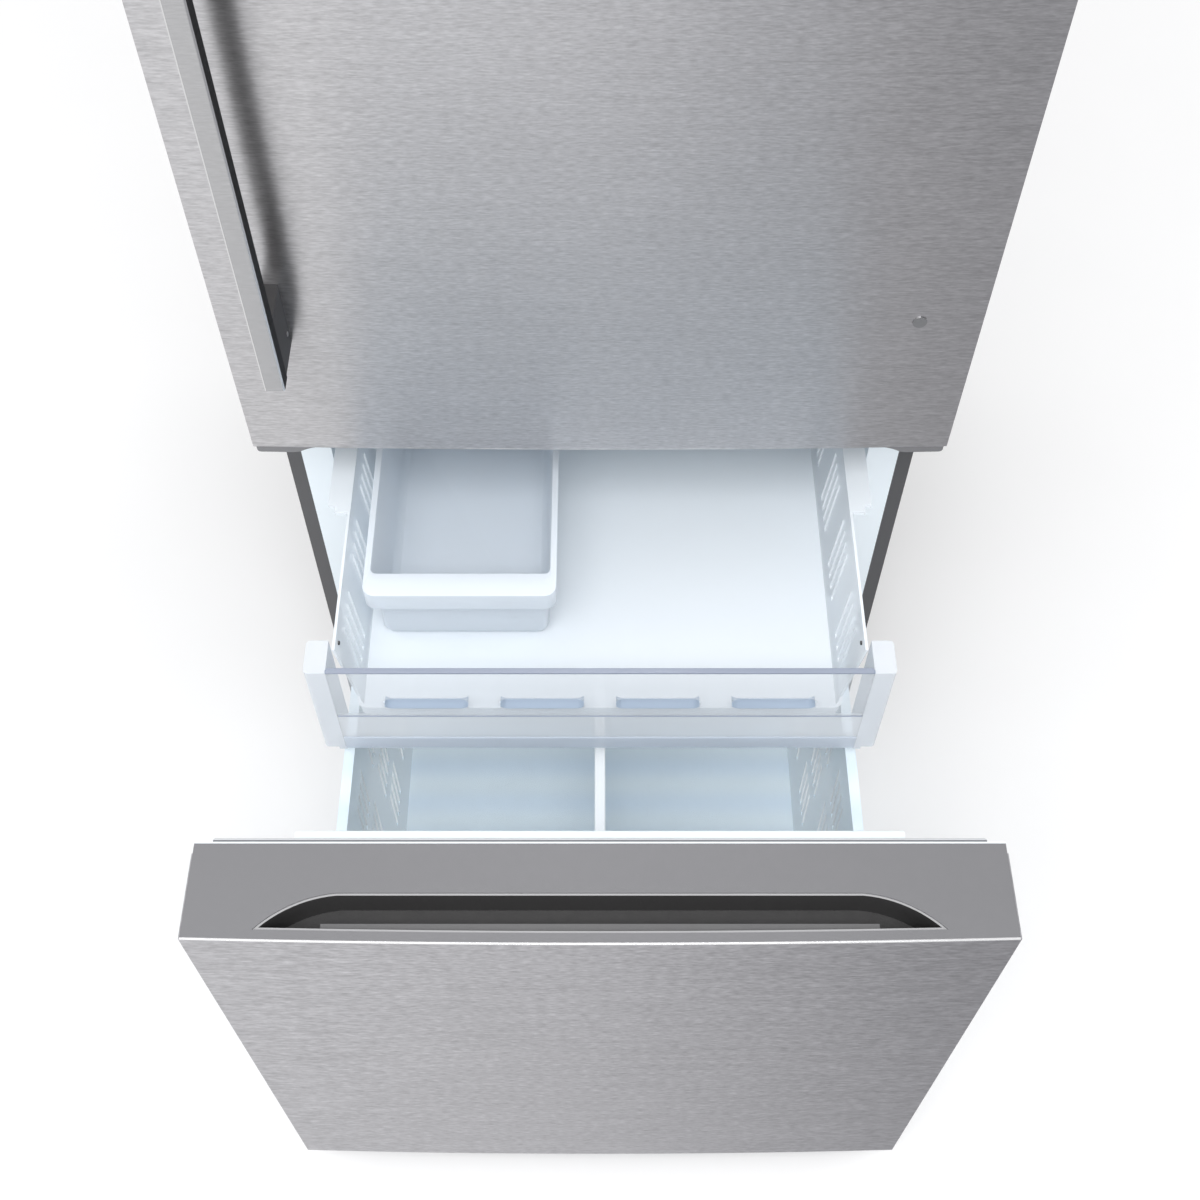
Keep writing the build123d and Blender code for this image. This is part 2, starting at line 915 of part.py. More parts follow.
def pocket_plan(inset):
    """Plan of the finger pocket: a wide front edge, a narrower back one and bowed ends."""
    front = panel_face + pocket_front
    back = panel_face + pocket_back
    front_x = half - pocket_front_from_side
    back_x = half - pocket_back_from_side
    middle_x = (front_x + back_x) / 2 + pocket_end_bow
    middle_y = (front + back) / 2 + pocket_end_shift
    sag = door_bulge * 0.7
    left, right = (-front_x, front), (front_x, front)
    outline = [
        ThreePointArc(left, (0, front - sag), right),
        ThreePointArc(right, (middle_x, middle_y), (back_x, back)),
        Line((back_x, back), (-back_x, back)),
        ThreePointArc((-back_x, back), (-middle_x, middle_y), left),
    ]
    plan = make_face(Wire(outline))
    return offset(plan, amount=-inset, kind=Kind.INTERSECTION) if inset else plan


def drawer_cap_top():
    """Grey cap along the drawer's top, with the hole that the finger cup sits in."""
    cap = door_slab(door_sheet, door_back - liner_t, lower_z1 - drawer_cap_h, lower_z1)
    depth = pocket_depth + pocket_wall
    hole = Pos(0, 0, lower_z1 - depth) * extrude(pocket_plan(0), amount=depth)
    return [cap - hole]


def drawer_handle_cup():
    """Dark cup in the top cap that fingers reach into, with a ledge along its front wall."""
    depth = pocket_depth + pocket_wall
    z0 = lower_z1 - depth
    outer = Pos(0, 0, z0) * extrude(pocket_plan(pocket_fit), amount=depth - cup_below)
    inner_plan = pocket_plan(pocket_fit + pocket_wall)
    inner = Pos(0, 0, z0 + pocket_wall) * extrude(inner_plan, amount=depth)
    front = panel_face + pocket_front
    x = half - lip_from_side
    ledge = block(-x, x, front - door_bulge, front + pocket_wall + lip_d, z0, lower_z1 - lip_drop)
    return [(outer - inner) + (ledge & outer)]


def drawer_cap_bottom():
    return [door_slab(door_sheet, door_back - liner_t, lower_z0, lower_z0 + cap_h)]


def drawer_foam():
    z0, z1 = lower_z0 + cap_h, lower_z1 - drawer_cap_h
    slab = door_slab(door_sheet, door_back - liner_t, z0, z1)
    return [slab, drawer_dyke(liner_t)]


def drawer_dyke(inset):
    """Raised middle of the drawer's liner."""
    x = lower_dyke_half - inset
    z0, z1 = freezer_floor + dyke_clear + inset, freezer_top - dyke_clear - inset
    return block(-x, x, door_back - liner_t, door_back + dyke_reach - inset, z0, z1)


def drawer_liner():
    x = half - door_sheet
    z0, z1 = lower_z0 + door_sheet, lower_z1 - door_sheet
    plate = block(-x, x, door_back - liner_t, door_back, z0, z1)
    ridge = drawer_dyke(0)
    ridge = fillet(ridge.edges().group_by(Axis.Y)[-1], dyke_round)
    return [plate + ridge - drawer_dyke(liner_t)]


# Slides ------------------------------------------------------------------------------------------


def channel(x_out, y0, y1, height, width):
    """Channel of one slide stage, open towards the middle of the cabinet."""
    z0, z1 = slide_z - height / 2, slide_z + height / 2
    outer = block(x_out - width, x_out, y0, y1, z0, z1)
    inner = block(x_out - width, x_out - slide_t, y0, y1, z0 + slide_t, z1 - slide_t)
    return outer - inner


def slide_outers():
    return both_sides(channel(liner_half, slide_y0 + slide_lead, slide_end, slide_h, slide_w))


def slide_middles():
    """Second stage of each slide, at half the drawer's travel at rest."""
    x_out = liner_half - step_in
    height = slide_h - 2 * step_in
    y0, y1 = slide_y0 + slide_lead, slide_end - slide_step
    return both_sides(channel(x_out, y0, y1, height, slide_w - step_in))


def slide_inners():
    """Third stage of each slide, with the bracket to the drawer and the plate that carries the basket."""
    x_out = liner_half - 2 * step_in
    height = slide_h - 4 * step_in
    x_in = liner_half - slide_w
    z0, z1 = slide_z - height / 2, slide_z + height / 2
    bar = block(x_in, x_out, slide_y0, slide_end - 2 * slide_step, z0, z1)
    carrier_top = basket_z1 - basket_lip_t - rest_gap
    carrier_x = basket_half_top + basket_lip - carrier_in
    web = block(carrier_x, x_in, slide_y0, basket_y + basket_d, z0, z0 + slide_t)
    carrier = block(carrier_x, carrier_x + slide_t, slide_y0, basket_y + basket_d, z0, carrier_top)
    bracket = block(carrier_x, x_out, door_back, slide_y0, z0 - bracket_down, z1 + bracket_up)
    return both_sides(one([bar, web, carrier, bracket]))


# Basket and tray ---------------------------------------------------------------------------------


def slanted_slits(z0, z1, x0, x1, y_first):
    """Slanted slots through both side walls, in groups along them."""
    slits = []
    for g in range(slit_groups):
        for i in range(slits_in_group):
            y = y_first + g * slit_group_pitch + i * slit_pitch
            outline = Polyline(
                (y, z0), (y + slit_w, z0), (y + slit_w + slit_lean, z1), (y + slit_lean, z1), close=True
            )
            face = Plane.YZ.offset(x0) * make_face(outline)
            slits += both_sides(extrude(face, amount=x1 - x0))
    return slits


def flat_rim(x0, x1, y0, y1, z0, z1, radius):
    """Flat plate with rounded corners."""
    return fillet(block(x0, x1, y0, y1, z0, z1).edges().filter_by(Axis.Z), radius)


def lower_basket():
    """Large basket that hangs on the slides' carrier plates by its rim."""
    x = basket_half_top
    y0, y1 = basket_y, basket_y + basket_d
    shell = tub(-x, x, y0, y1, basket_z0, basket_z1, basket_draft, basket_wall, basket_front_draft)
    z0 = basket_z1 - basket_lip_t
    rim_x = x + basket_lip
    rim = flat_rim(-rim_x, rim_x, y0 - basket_lip_d, y1 + basket_lip_d, z0, basket_z1, basket_round)
    hole_x = x - basket_wall
    hole = flat_rim(-hole_x, hole_x, y0 + basket_wall, y1 - basket_wall, z0, basket_z1, basket_round)
    shell = shell + (rim - hole)
    for row in range(slit_rows):
        z = basket_z0 + slit_row_z + row * slit_row_pitch
        for slit in slanted_slits(z, z + slit_h, basket_half_bottom - tub_round, rim_x, y0 + slit_start):
            shell = shell - slit
    return [shell]


def basket_divider():
    """Upright divider that stands across the basket and slides sideways."""
    y0 = basket_y + basket_wall + basket_front_draft + divider_gap
    y1 = basket_y + basket_d - basket_wall - divider_gap
    z0 = basket_z0 + basket_wall + rest_gap
    panel = block(-divider_t / 2, divider_t / 2, y0, y1, z0, basket_z1 - divider_drop)
    return [fillet(panel.edges().group_by(Axis.Z)[-1], divider_round)]


def tray_tub():
    """Shallow tub of the tray, with a runner along the back of each side."""
    x = tray_half_top
    y0, y1 = tray_front + panel_t + panel_fit, tray_front + tray_len
    shell = tub(-x, x, y0, y1, tray_z0, tray_rim, tray_draft, tray_wall)
    cut_back = y0 + tray_wall + tray_front_cut
    cut_z = tray_z0 + tray_front_wall
    shell = shell - block(-x, x, y0 - cut_over, cut_back, cut_z, tray_rim + cut_over)
    runner_x = liner_half - runner_side_gap
    runner_y = tray_front + runner_setback
    runner_z = tray_rim - runner_t
    runner = block(x - tray_wall, runner_x, runner_y, y1, runner_z, tray_rim)
    notch = block(runner_x - notch_w, runner_x, runner_y, runner_y + notch_d, runner_z, tray_rim)
    for side in both_sides(runner - notch):
        shell = shell + side
    z0, z1 = tray_z0 + tray_slit_inset, tray_rim - tray_slit_inset
    low_x = x - tray_draft - tray_slit_reach
    for slit in slanted_slits(z0, z1, low_x, x + cut_over, y0 + slit_start):
        shell = shell - slit
    return [shell]


def tray_front_panel():
    """Clear front of the tray, with a row of long round-ended vents."""
    panel = block(-panel_half, panel_half, tray_front, tray_front + panel_t, panel_z0, panel_z1)
    panel = fillet(panel.edges().filter_by(Axis.X).group_by(Axis.Z)[-1], panel_round)
    z = panel_z1 - vent_drop
    for i in range(vent_count):
        x = (i - (vent_count - 1) / 2) * vent_pitch
        slot = Plane.XZ.offset(-tray_front - panel_t) * Pos(x, z) * SlotOverall(vent_len, vent_h)
        panel = panel - extrude(slot, amount=panel_t)
    return [panel]


def tray_end_caps():
    """White caps over the ends of the clear panel, which run back to the tub's sides."""
    x0, x1 = panel_half, panel_half + cap_w
    cap = block(x0, x1, tray_front, tray_front + cap_d, panel_z0, panel_z1 - cap_drop)
    cap = fillet(cap.edges().filter_by(Axis.Z).group_by(Axis.X)[-1], cap_round)
    hook_y = tray_front + panel_t
    hook = block(x0, x0 + hook_w, hook_y, hook_y + hook_d, panel_z0 - hook_h, panel_z0)
    return both_sides(cap + hook)


def tray_rails():
    """Channels on the freezer's side walls that the tray's runners slide in."""
    z0 = tray_rim - runner_t - rail_fit
    z1 = tray_rim + rail_fit
    x0 = liner_half - rail_reach
    y0, y1 = rail_y0, tray_front + tray_len
    ledge = block(x0, liner_half, y0, y1, z0 - rail_lip_t, z0)
    roof = block(x0, liner_half, y0, y1, z1, z1 + rail_lip_t)
    web = block(liner_half - rail_web_t, liner_half, y0, y1, z0, z1)
    return both_sides(one([ledge, roof, web]))


def ice_bin():
    """Open bin that stands on the tray, with a flat rim that turns down at the front."""
    y0 = tray_front + bin_setback
    y1 = y0 + bin_len
    z0, z1 = tray_z0 + tray_wall + rest_gap, bin_rim_z - bin_wall
    x0, x1 = bin_x - bin_half, bin_x + bin_half
    shell = tub(
        x0, x1, y0 + bin_front_rim, y1, z0, bin_rim_z, bin_draft, bin_wall, bin_front_draft
    )
    rim = flat_rim(x0 - bin_rim, x1 + bin_rim, y0, y1 + bin_rim, z1, bin_rim_z, tub_round)
    hole = flat_rim(
        x0 + bin_wall,
        x1 - bin_wall,
        y0 + bin_front_rim + bin_wall,
        y1 - bin_wall,
        z1,
        bin_rim_z,
        tub_round,
    )
    lip_in = tub_round - bin_rim
    lip = block(x0 + lip_in, x1 - lip_in, y0, y0 + bin_wall, bin_rim_z - bin_lip_h, z1)
    return [shell + (rim - hole) + lip]


# Refrigerator compartment ------------------------------------------------------------------------


def shelf_levels():
    """Top faces of the glass shelves, from the crispers' cover up."""
    return [crisper_shelf_z + i * shelf_pitch for i in range(shelf_count)]


def shelf_box(z0, z1, inset):
    x = liner_half - shelf_side_gap - inset
    return block(-x, x, shelf_front + inset, shelf_back - inset, z0, z1)


def shelf_frames():
    frames = []
    for z in shelf_levels():
        ring = shelf_box(z - shelf_frame_h, z, 0) - shelf_box(z - shelf_frame_h, z, shelf_frame_w)
        frames.append(ring - shelf_box(z - shelf_t, z, shelf_seat))
    return frames


def shelf_glass():
    return [shelf_box(z - shelf_t, z, shelf_seat) for z in shelf_levels()]


def crisper(side):
    """Clear drawer under the lowest shelf, with a thick front and a lip to pull."""
    x0, x1 = crisper_gap / 2, liner_half - crisper_side_gap
    if side < 0:
        x0, x1 = -x1, -x0
    y0 = shelf_front
    z0 = fridge_floor + rest_gap
    z1 = crisper_shelf_z - shelf_frame_h - ledge_h - crisper_top_gap
    rim_z = z1 - crisper_front_up
    body = tub(x0, x1, y0 + crisper_front_t, shelf_back, z0, rim_z, crisper_draft, crisper_wall)
    front = block(x0, x1, y0, y0 + crisper_front_t + crisper_wall, z0, z1)
    front = fillet(front.edges().filter_by(Axis.X).group_by(Axis.Z)[-1], crisper_round)
    g0, g1 = x0 + grip_inset, x1 - grip_inset
    grip_z1 = z1 - grip_drop
    grip_z0 = grip_z1 - grip_h
    grip = block(g0, g1, y0 - grip_d, y0, grip_z0, grip_z1)
    grip = fillet(grip.edges().filter_by(Axis.X).group_by(Axis.Y)[0], grip_round)
    wall = crisper_wall
    grip = grip - block(g0 + wall, g1 - wall, y0 - grip_d + wall, y0, grip_z0, grip_z1 - wall)
    return [one([body, front, grip])]


def air_duct_panel():
    """White duct up the back wall, with air slots on both sides."""
    y0, y1 = liner_back - duct_t, liner_back
    z0, z1 = shelf_levels()[0] + duct_above_shelf, fridge_top - duct_below_top
    panel = block(-duct_half, duct_half, y0, y1, z0, z1)
    panel = fillet(panel.edges().filter_by(Axis.Z).group_by(Axis.Y)[0], duct_round)
    rows = int((z1 - z0 - 2 * duct_vent_start) / duct_vent_pitch)
    for i in range(rows + 1):
        z = z0 + duct_vent_start + i * duct_vent_pitch
        x0 = duct_vent_x - duct_vent_w / 2
        vent = block(x0, x0 + duct_vent_w, y0, y1, z, z + duct_vent_h)
        for slot in both_sides(vent):
            panel = panel - slot
    return [panel]


def light_cover():
    cover = block(-light_half, light_half, light_y, light_y + light_d, fridge_top - light_t, fridge_top)
    return [fillet(cover.edges().group_by(Axis.Z)[0], light_round)]


def control_panel():
    """Flat panel under the ceiling, with a row of plain touch dimples."""
    z0 = fridge_top - control_t
    panel = block(-control_half, control_half, control_y, control_y + control_d, z0, fridge_top)
    panel = fillet(panel.edges().group_by(Axis.Z)[0], control_round)
    for i in range(dimple_count):
        x = (i - (dimple_count - 1) / 2) * dimple_pitch
        panel = panel - cylinder(dimple_r, dimple_d, x, control_y + control_d / 2, z0)
    return [panel]


# Cooling system ----------------------------------------------------------------------------------


def compressor():
    """Sealed motor can on a plate with four rubber feet, with its pipe stubs."""
    plate_z = base_top + comp_foot_h - comp_plate_t
    can_z = base_top + comp_foot_h
    can = cylinder(comp_r, comp_h, comp_x, bay_y, can_z)
    can = fillet(can.edges(), comp_round)
    plate = block(
        comp_x - comp_plate_x,
        comp_x + comp_plate_x,
        bay_y - comp_plate_y,
        bay_y + comp_plate_y,
        plate_z,
        can_z,
    )
    seat = block(
        comp_x - comp_seat,
        comp_x + comp_seat,
        bay_y - comp_seat,
        bay_y + comp_seat,
        plate_z,
        can_z + comp_round,
    )
    feet = [
        cylinder(comp_foot_r, comp_foot_h - comp_plate_t, comp_x + dx, bay_y + dy, base_top)
        for dx in (-comp_foot_x, comp_foot_x)
        for dy in (-comp_foot_y, comp_foot_y)
    ]
    top = can_z + comp_h
    stubs = [
        cylinder(stub_r, stub_h + stub_root, comp_x + dx, bay_y - stub_y, top - stub_root)
        for dx in (-stub_x, stub_x)
    ]
    return [one([can, plate, seat] + feet + stubs)]


def fin_stack(x0, x1, y0, y1, z0, z1):
    """Block of upright fins on tubes that run along X."""
    count = int((x1 - x0) / fin_pitch)
    fins = [block(x0 + i * fin_pitch, x0 + i * fin_pitch + fin_t, y0, y1, z0, z1) for i in range(count + 1)]
    middle = (y0 + y1) / 2
    rows = [middle - tube_row_gap / 2, middle + tube_row_gap / 2]
    levels = int((z1 - z0) / tube_pitch)
    tubes = [
        cylinder(tube_r, x1 - x0 + 2 * tube_end, x0 - tube_end, y, z0 + (i + 0.5) * (z1 - z0) / levels, "X")
        for y in rows
        for i in range(levels)
    ]
    return one(tubes[:1] + fins + tubes[1:])


def condenser():
    x0, x1 = cond_x - cond_w / 2, cond_x + cond_w / 2
    y0, y1 = bay_y - cond_d / 2, bay_y + cond_d / 2
    return [fin_stack(x0, x1, y0, y1, base_top, base_top + cond_h)]


def evaporator():
    return [fin_stack(-evap_half, evap_half, evap_y, evap_y + evap_d, evap_z0, evap_z1)]


def fan_wheel(place):
    """Fan wheel with pitched blades on a hub, facing along its own +Z."""
    wheel = extrude(Circle(fan_hub_r), amount=fan_t) - extrude(Circle(shaft_r + shaft_fit), amount=fan_t)
    reach = fan_r - fan_hub_r + 2 * blade_root
    for i in range(fan_blades):
        blade = Rot(blade_pitch, 0, 0) * Box(reach, blade_w, blade_t)
        blade = Pos((fan_r + fan_hub_r) / 2, 0, fan_t / 2) * blade
        wheel = wheel + Rot(0, 0, 360 * i / fan_blades) * blade
    rim = extrude(Circle(fan_r), amount=fan_t)
    return [place * (wheel & rim)]


def evap_fan_place():
    return Pos(0, evap_cover_y + evap_cover_t + fan_setback, evap_fan_z) * Rot(-90, 0, 0)


def cond_fan_place():
    x = cond_x + cond_w / 2 + cond_fan_gap
    return Pos(x, bay_y, base_top + fan_r + fan_from_base) * Rot(0, 90, 0)


def fan_motors():
    """Motor and shaft behind each fan wheel, with a boss to the back wall or a foot to the base."""
    front = fan_t + motor_gap
    back = front + motor_len
    can = Pos(0, 0, front) * extrude(Circle(motor_r), amount=motor_len)
    shaft = Pos(0, 0, front - shaft_len) * extrude(Circle(shaft_r), amount=shaft_len)
    motor = can + shaft
    behind = liner_back - (evap_cover_y + evap_cover_t + fan_setback + back)
    boss = Pos(0, 0, back) * extrude(Circle(motor_boss_r), amount=behind)
    drop = fan_r + fan_from_base
    foot = Pos(drop / 2, 0, front + motor_len / 2) * Box(drop, motor_foot_w, motor_foot_t)
    return [evap_fan_place() * (motor + boss), cond_fan_place() * (motor + foot)]


def evaporator_cover():
    """White panel in front of the evaporator, with the fan's hole, vents and a turned-back edge."""
    y0, y1 = evap_cover_y, evap_cover_y + evap_cover_t
    x = liner_half - evap_cover_fit
    plate = block(-x, x, y0, y1, step_z, freezer_top)
    hole_r = fan_r + fan_clear
    plate = plate - cylinder(hole_r, evap_cover_t, 0, y0, evap_fan_z, "Y")
    bar = guard_bar / 2
    guard = [
        block(-bar, bar, y0, y1, evap_fan_z - hole_r, evap_fan_z + hole_r),
        block(-hole_r, hole_r, y0, y1, evap_fan_z - bar, evap_fan_z + bar),
    ]
    for i in range(guard_rings):
        radius = guard_first_r + i * guard_ring_pitch
        ring = cylinder(radius + bar, evap_cover_t, 0, y0, evap_fan_z, "Y")
        guard.append(ring - cylinder(radius - bar, evap_cover_t, 0, y0, evap_fan_z, "Y"))
    plate = one([plate] + guard)
    z0 = step_z + cold_vent_up
    for i in range(cold_vents):
        vent_x = (i - (cold_vents - 1) / 2) * cold_vent_pitch - cold_vent_w / 2
        plate = plate - block(vent_x, vent_x + cold_vent_w, y0, y1, z0, z0 + cold_vent_h)
    edges = both_sides(block(x - evap_cover_edge, x, y1, liner_back, step_z, freezer_top))
    return [one([plate] + edges)]


def drain_pan():
    """Shallow pan on the base that meltwater dries from."""
    x1 = comp_x - comp_plate_x - pan_gap
    x0 = x1 - pan_w
    y0, y1 = case_d - bay_d + pan_front, case_d - pan_back
    z1 = base_top + pan_h
    pan = block(x0, x1, y0, y1, base_top, z1)
    wall = pan_wall
    return [pan - block(x0 + wall, x1 - wall, y0 + wall, y1 - wall, base_top + wall, z1)]


def rear_cover():
    """Cover over the machine bay, with upright vents."""
    x = half - sheet
    y0 = case_d - sheet
    plate = block(-x, x, y0, case_d, base_top, bay_top)
    z0, z1 = case_bottom + rear_vent_margin, bay_top - rear_vent_margin
    for i in range(rear_vents):
        vent_x = rear_vent_first + i * rear_vent_pitch
        for vent in both_sides(block(vent_x, vent_x + rear_vent_w, y0, case_d, z0, z1)):
            plate = plate - vent
    return [plate]


os.makedirs("parts", exist_ok=True)

closed_nodes = {
    "cabinet_shell": cabinet_shell(),
    "back_panel": back_panel(),
    "cabinet_insulation": foam_blocks(),
    "fridge_liner": fridge_liner(),
    "freezer_liner": freezer_liner(),
    "mullion_bar": mullion_bar(),
    "base_frame": base_frame(),
    "toe_grille": toe_grille(),
    "levelling_foot_left": levelling_foot(-1),
    "levelling_foot_right": levelling_foot(1),
    "roller_left": roller(-1),
    "roller_right": roller(1),
    "roller_axles": roller_axles(),
    "middle_hinge": middle_hinge(),
    "top_hinge": top_hinge(),
    "top_hinge_cover": top_hinge_cover(),
    "door_skin": door_skin(upper_z0, upper_z1),
    "door_cap_top": door_cap_top(),
    "door_cap_bottom": door_cap_bottom(),
    "door_insulation": upper_foam(),
    "door_liner": door_liner(),
    "door_bins": door_bins(),
    "door_gasket": gasket(upper_z0, upper_z1),
    "handle_bar": handle_bar(),
    "handle_posts": handle_posts(),
    "handle_set_screws": handle_set_screws(),
    "badge_disc": badge_disc(),
    "drawer_slide_outers": slide_outers(),
    "tray_rails": tray_rails(),
    "shelf_frames": shelf_frames(),
    "shelf_glass": shelf_glass(),
    "crisper_left": crisper(-1),
    "crisper_right": crisper(1),
    "air_duct_panel": air_duct_panel(),
    "light_cover": light_cover(),
    "control_panel": control_panel(),
    "compressor": compressor(),
    "condenser": condenser(),
    "condenser_fan": fan_wheel(cond_fan_place()),
    "evaporator": evaporator(),
    "evaporator_fan": fan_wheel(evap_fan_place()),
    "fan_motors": fan_motors(),
    "evaporator_cover": evaporator_cover(),
    "drain_pan": drain_pan(),
    "rear_cover": rear_cover(),
}
drawer_nodes = {
    "drawer_skin": door_skin(lower_z0, lower_z1),
    "drawer_cap_top": drawer_cap_top(),
    "drawer_handle_cup": drawer_handle_cup(),
    "drawer_cap_bottom": drawer_cap_bottom(),
    "drawer_insulation": drawer_foam(),
    "drawer_liner": drawer_liner(),
    "drawer_gasket": gasket(lower_z0, lower_z1),
    "drawer_slide_inners": slide_inners(),
    "lower_basket": lower_basket(),
    "basket_divider": basket_divider(),
}
tray_nodes = {
    "tray_tub": tray_tub(),
    "tray_front_panel": tray_front_panel(),
    "tray_end_caps": tray_end_caps(),
    "ice_bin": ice_bin(),
}
for name, shapes in closed_nodes.items():
    save(name, shapes)
for name, shapes in drawer_nodes.items():
    save(name, shapes, drawer_open)
for name, shapes in tray_nodes.items():
    save(name, shapes, tray_open)
save("drawer_slide_middles", slide_middles(), drawer_open / 2)
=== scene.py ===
import math

import bpy
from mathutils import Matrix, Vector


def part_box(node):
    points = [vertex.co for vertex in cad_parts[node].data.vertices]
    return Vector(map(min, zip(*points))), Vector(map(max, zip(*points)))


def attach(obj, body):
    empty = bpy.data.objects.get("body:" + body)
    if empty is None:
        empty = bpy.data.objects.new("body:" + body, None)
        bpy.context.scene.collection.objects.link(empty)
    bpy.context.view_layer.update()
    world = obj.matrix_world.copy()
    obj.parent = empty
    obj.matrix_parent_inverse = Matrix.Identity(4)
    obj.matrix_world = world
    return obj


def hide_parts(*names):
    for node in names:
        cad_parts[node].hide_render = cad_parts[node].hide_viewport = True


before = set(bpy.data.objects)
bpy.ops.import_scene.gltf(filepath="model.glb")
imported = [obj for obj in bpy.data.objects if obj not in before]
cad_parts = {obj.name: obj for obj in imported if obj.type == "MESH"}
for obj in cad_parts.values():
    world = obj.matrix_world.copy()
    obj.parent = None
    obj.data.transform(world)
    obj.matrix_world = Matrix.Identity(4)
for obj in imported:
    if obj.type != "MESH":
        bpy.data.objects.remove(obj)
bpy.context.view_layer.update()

# Cabinet wrapper and cross bar: folded sheet steel with its edges turned in round the front,
# powder-coated dark grey. The paint has a faint orange peel and carries a little dust on top.

tone_waves = 5.0
mark_waves = (9.0, 9.0, 26.0)
mark_gloss = 0.07
lint_waves = 60.0
lint_colour = (0.62, 0.61, 0.58)
dusty_slope = 0.6
mould_bump = 0.001
face_gives = (
    ("Colour", "NodeSocketColor"),
    ("Roughness", "NodeSocketFloat"),
    ("Height", "NodeSocketFloat"),
)


def new_group(name, takes, gives):
    """Empty shader group with the sockets named, and its input and output nodes."""
    tree = bpy.data.node_groups.new(name, "ShaderNodeTree")
    for label, kind, value in takes:
        socket = tree.interface.new_socket(label, in_out="INPUT", socket_type=kind)
        if value is not None:
            socket.default_value = value
    for label, kind in gives:
        tree.interface.new_socket(label, in_out="OUTPUT", socket_type=kind)
    return tree, tree.nodes.new("NodeGroupInput"), tree.nodes.new("NodeGroupOutput")


def feed(tree, socket, value):
    """Gives a socket another node's output, a number or a colour."""
    if isinstance(value, bpy.types.NodeSocket):
        tree.links.new(value, socket)
    elif socket.type == "RGBA":
        socket.default_value = (*value, 1)
    else:
        socket.default_value = value


def maths(tree, operation, first, second=0.0):
    """Math node on two sockets or numbers."""
    node = tree.nodes.new("ShaderNodeMath")
    node.operation = operation
    feed(tree, node.inputs[0], first)
    feed(tree, node.inputs[1], second)
    return node.outputs[0]


def blend_colours(tree, share, first, second):
    """Goes from the first colour to the second as the share goes from 0 to 1."""
    node = tree.nodes.new("ShaderNodeMix")
    node.data_type = "RGBA"
    for slot, value in ((0, share), (6, first), (7, second)):
        feed(tree, node.inputs[slot], value)
    return node.outputs[2]


def scaled_colour(tree, colour, factor):
    """A colour made brighter or darker."""
    node = tree.nodes.new("ShaderNodeVectorMath")
    node.operation = "SCALE"
    tree.links.new(colour, node.inputs[0])
    tree.links.new(factor, node.inputs["Scale"])
    return node.outputs[0]


def stretched(tree, where, waves):
    """The place given, scaled along each axis."""
    node = tree.nodes.new("ShaderNodeMapping")
    node.inputs["Scale"].default_value = waves
    tree.links.new(where, node.inputs["Vector"])
    return node.outputs[0]


def spots(tree, where, waves, detail=2.0, roughness=0.5):
    """Noise value at the place given, about 0.5 on average."""
    node = tree.nodes.new("ShaderNodeTexNoise")
    node.inputs["Detail"].default_value = detail
    node.inputs["Roughness"].default_value = roughness
    feed(tree, node.inputs["Scale"], waves)
    tree.links.new(where, node.inputs["Vector"])
    return node.outputs[0]


def axes(tree, source):
    """X, Y and Z of a place or a normal."""
    node = tree.nodes.new("ShaderNodeSeparateXYZ")
    tree.links.new(source, node.inputs[0])
    return node.outputs


def facing(tree):
    """X, Y and Z of the way the face points."""
    return axes(tree, tree.nodes.new("ShaderNodeNewGeometry").outputs["Normal"])


def make_moulded_surface():
    """Group for moulded or coated faces: fine grain, slow tone changes, marks and settled dust."""
    tree, given, result = new_group(
        "moulded_surface",
        [
            ("Place", "NodeSocketVector", None),
            ("Colour", "NodeSocketColor", (0.5, 0.5, 0.5, 1)),
            ("Roughness", "NodeSocketFloat", 0.4),
            ("Grain size", "NodeSocketFloat", 700.0),
            ("Tone change", "NodeSocketFloat", 0.05),
            ("Dust", "NodeSocketFloat", 0.1),
        ],
        face_gives,
    )
    place = given.outputs["Place"]
    slow = maths(tree, "SUBTRACT", spots(tree, place, tone_waves, detail=3.0), 0.5)
    tone = maths(tree, "MULTIPLY", slow, given.outputs["Tone change"])
    lift = maths(tree, "ADD", 1.0, maths(tree, "MULTIPLY", tone, 2.0))
    toned = scaled_colour(tree, given.outputs["Colour"], lift)
    up = tree.nodes.new("ShaderNodeMapRange")
    up.inputs["From Min"].default_value = dusty_slope
    tree.links.new(facing(tree)["Z"], up.inputs["Value"])
    fluff = spots(tree, place, lint_waves, detail=6.0, roughness=0.7)
    settled = maths(tree, "MULTIPLY", up.outputs[0], maths(tree, "POWER", fluff, 2.0))
    dusty = maths(tree, "MULTIPLY", settled, given.outputs["Dust"])
    tree.links.new(blend_colours(tree, dusty, toned, lint_colour), result.inputs["Colour"])
    marks = spots(tree, stretched(tree, place, mark_waves), 1.0, detail=5.0, roughness=0.65)
    wiped = maths(tree, "MULTIPLY", maths(tree, "SUBTRACT", marks, 0.5), mark_gloss)
    rough = maths(tree, "ADD", given.outputs["Roughness"], maths(tree, "ADD", wiped, dusty))
    tree.links.new(rough, result.inputs["Roughness"])
    grain = spots(tree, place, given.outputs["Grain size"], detail=3.0)
    tree.links.new(grain, result.inputs["Height"])
    return tree


moulded_surface = make_moulded_surface()


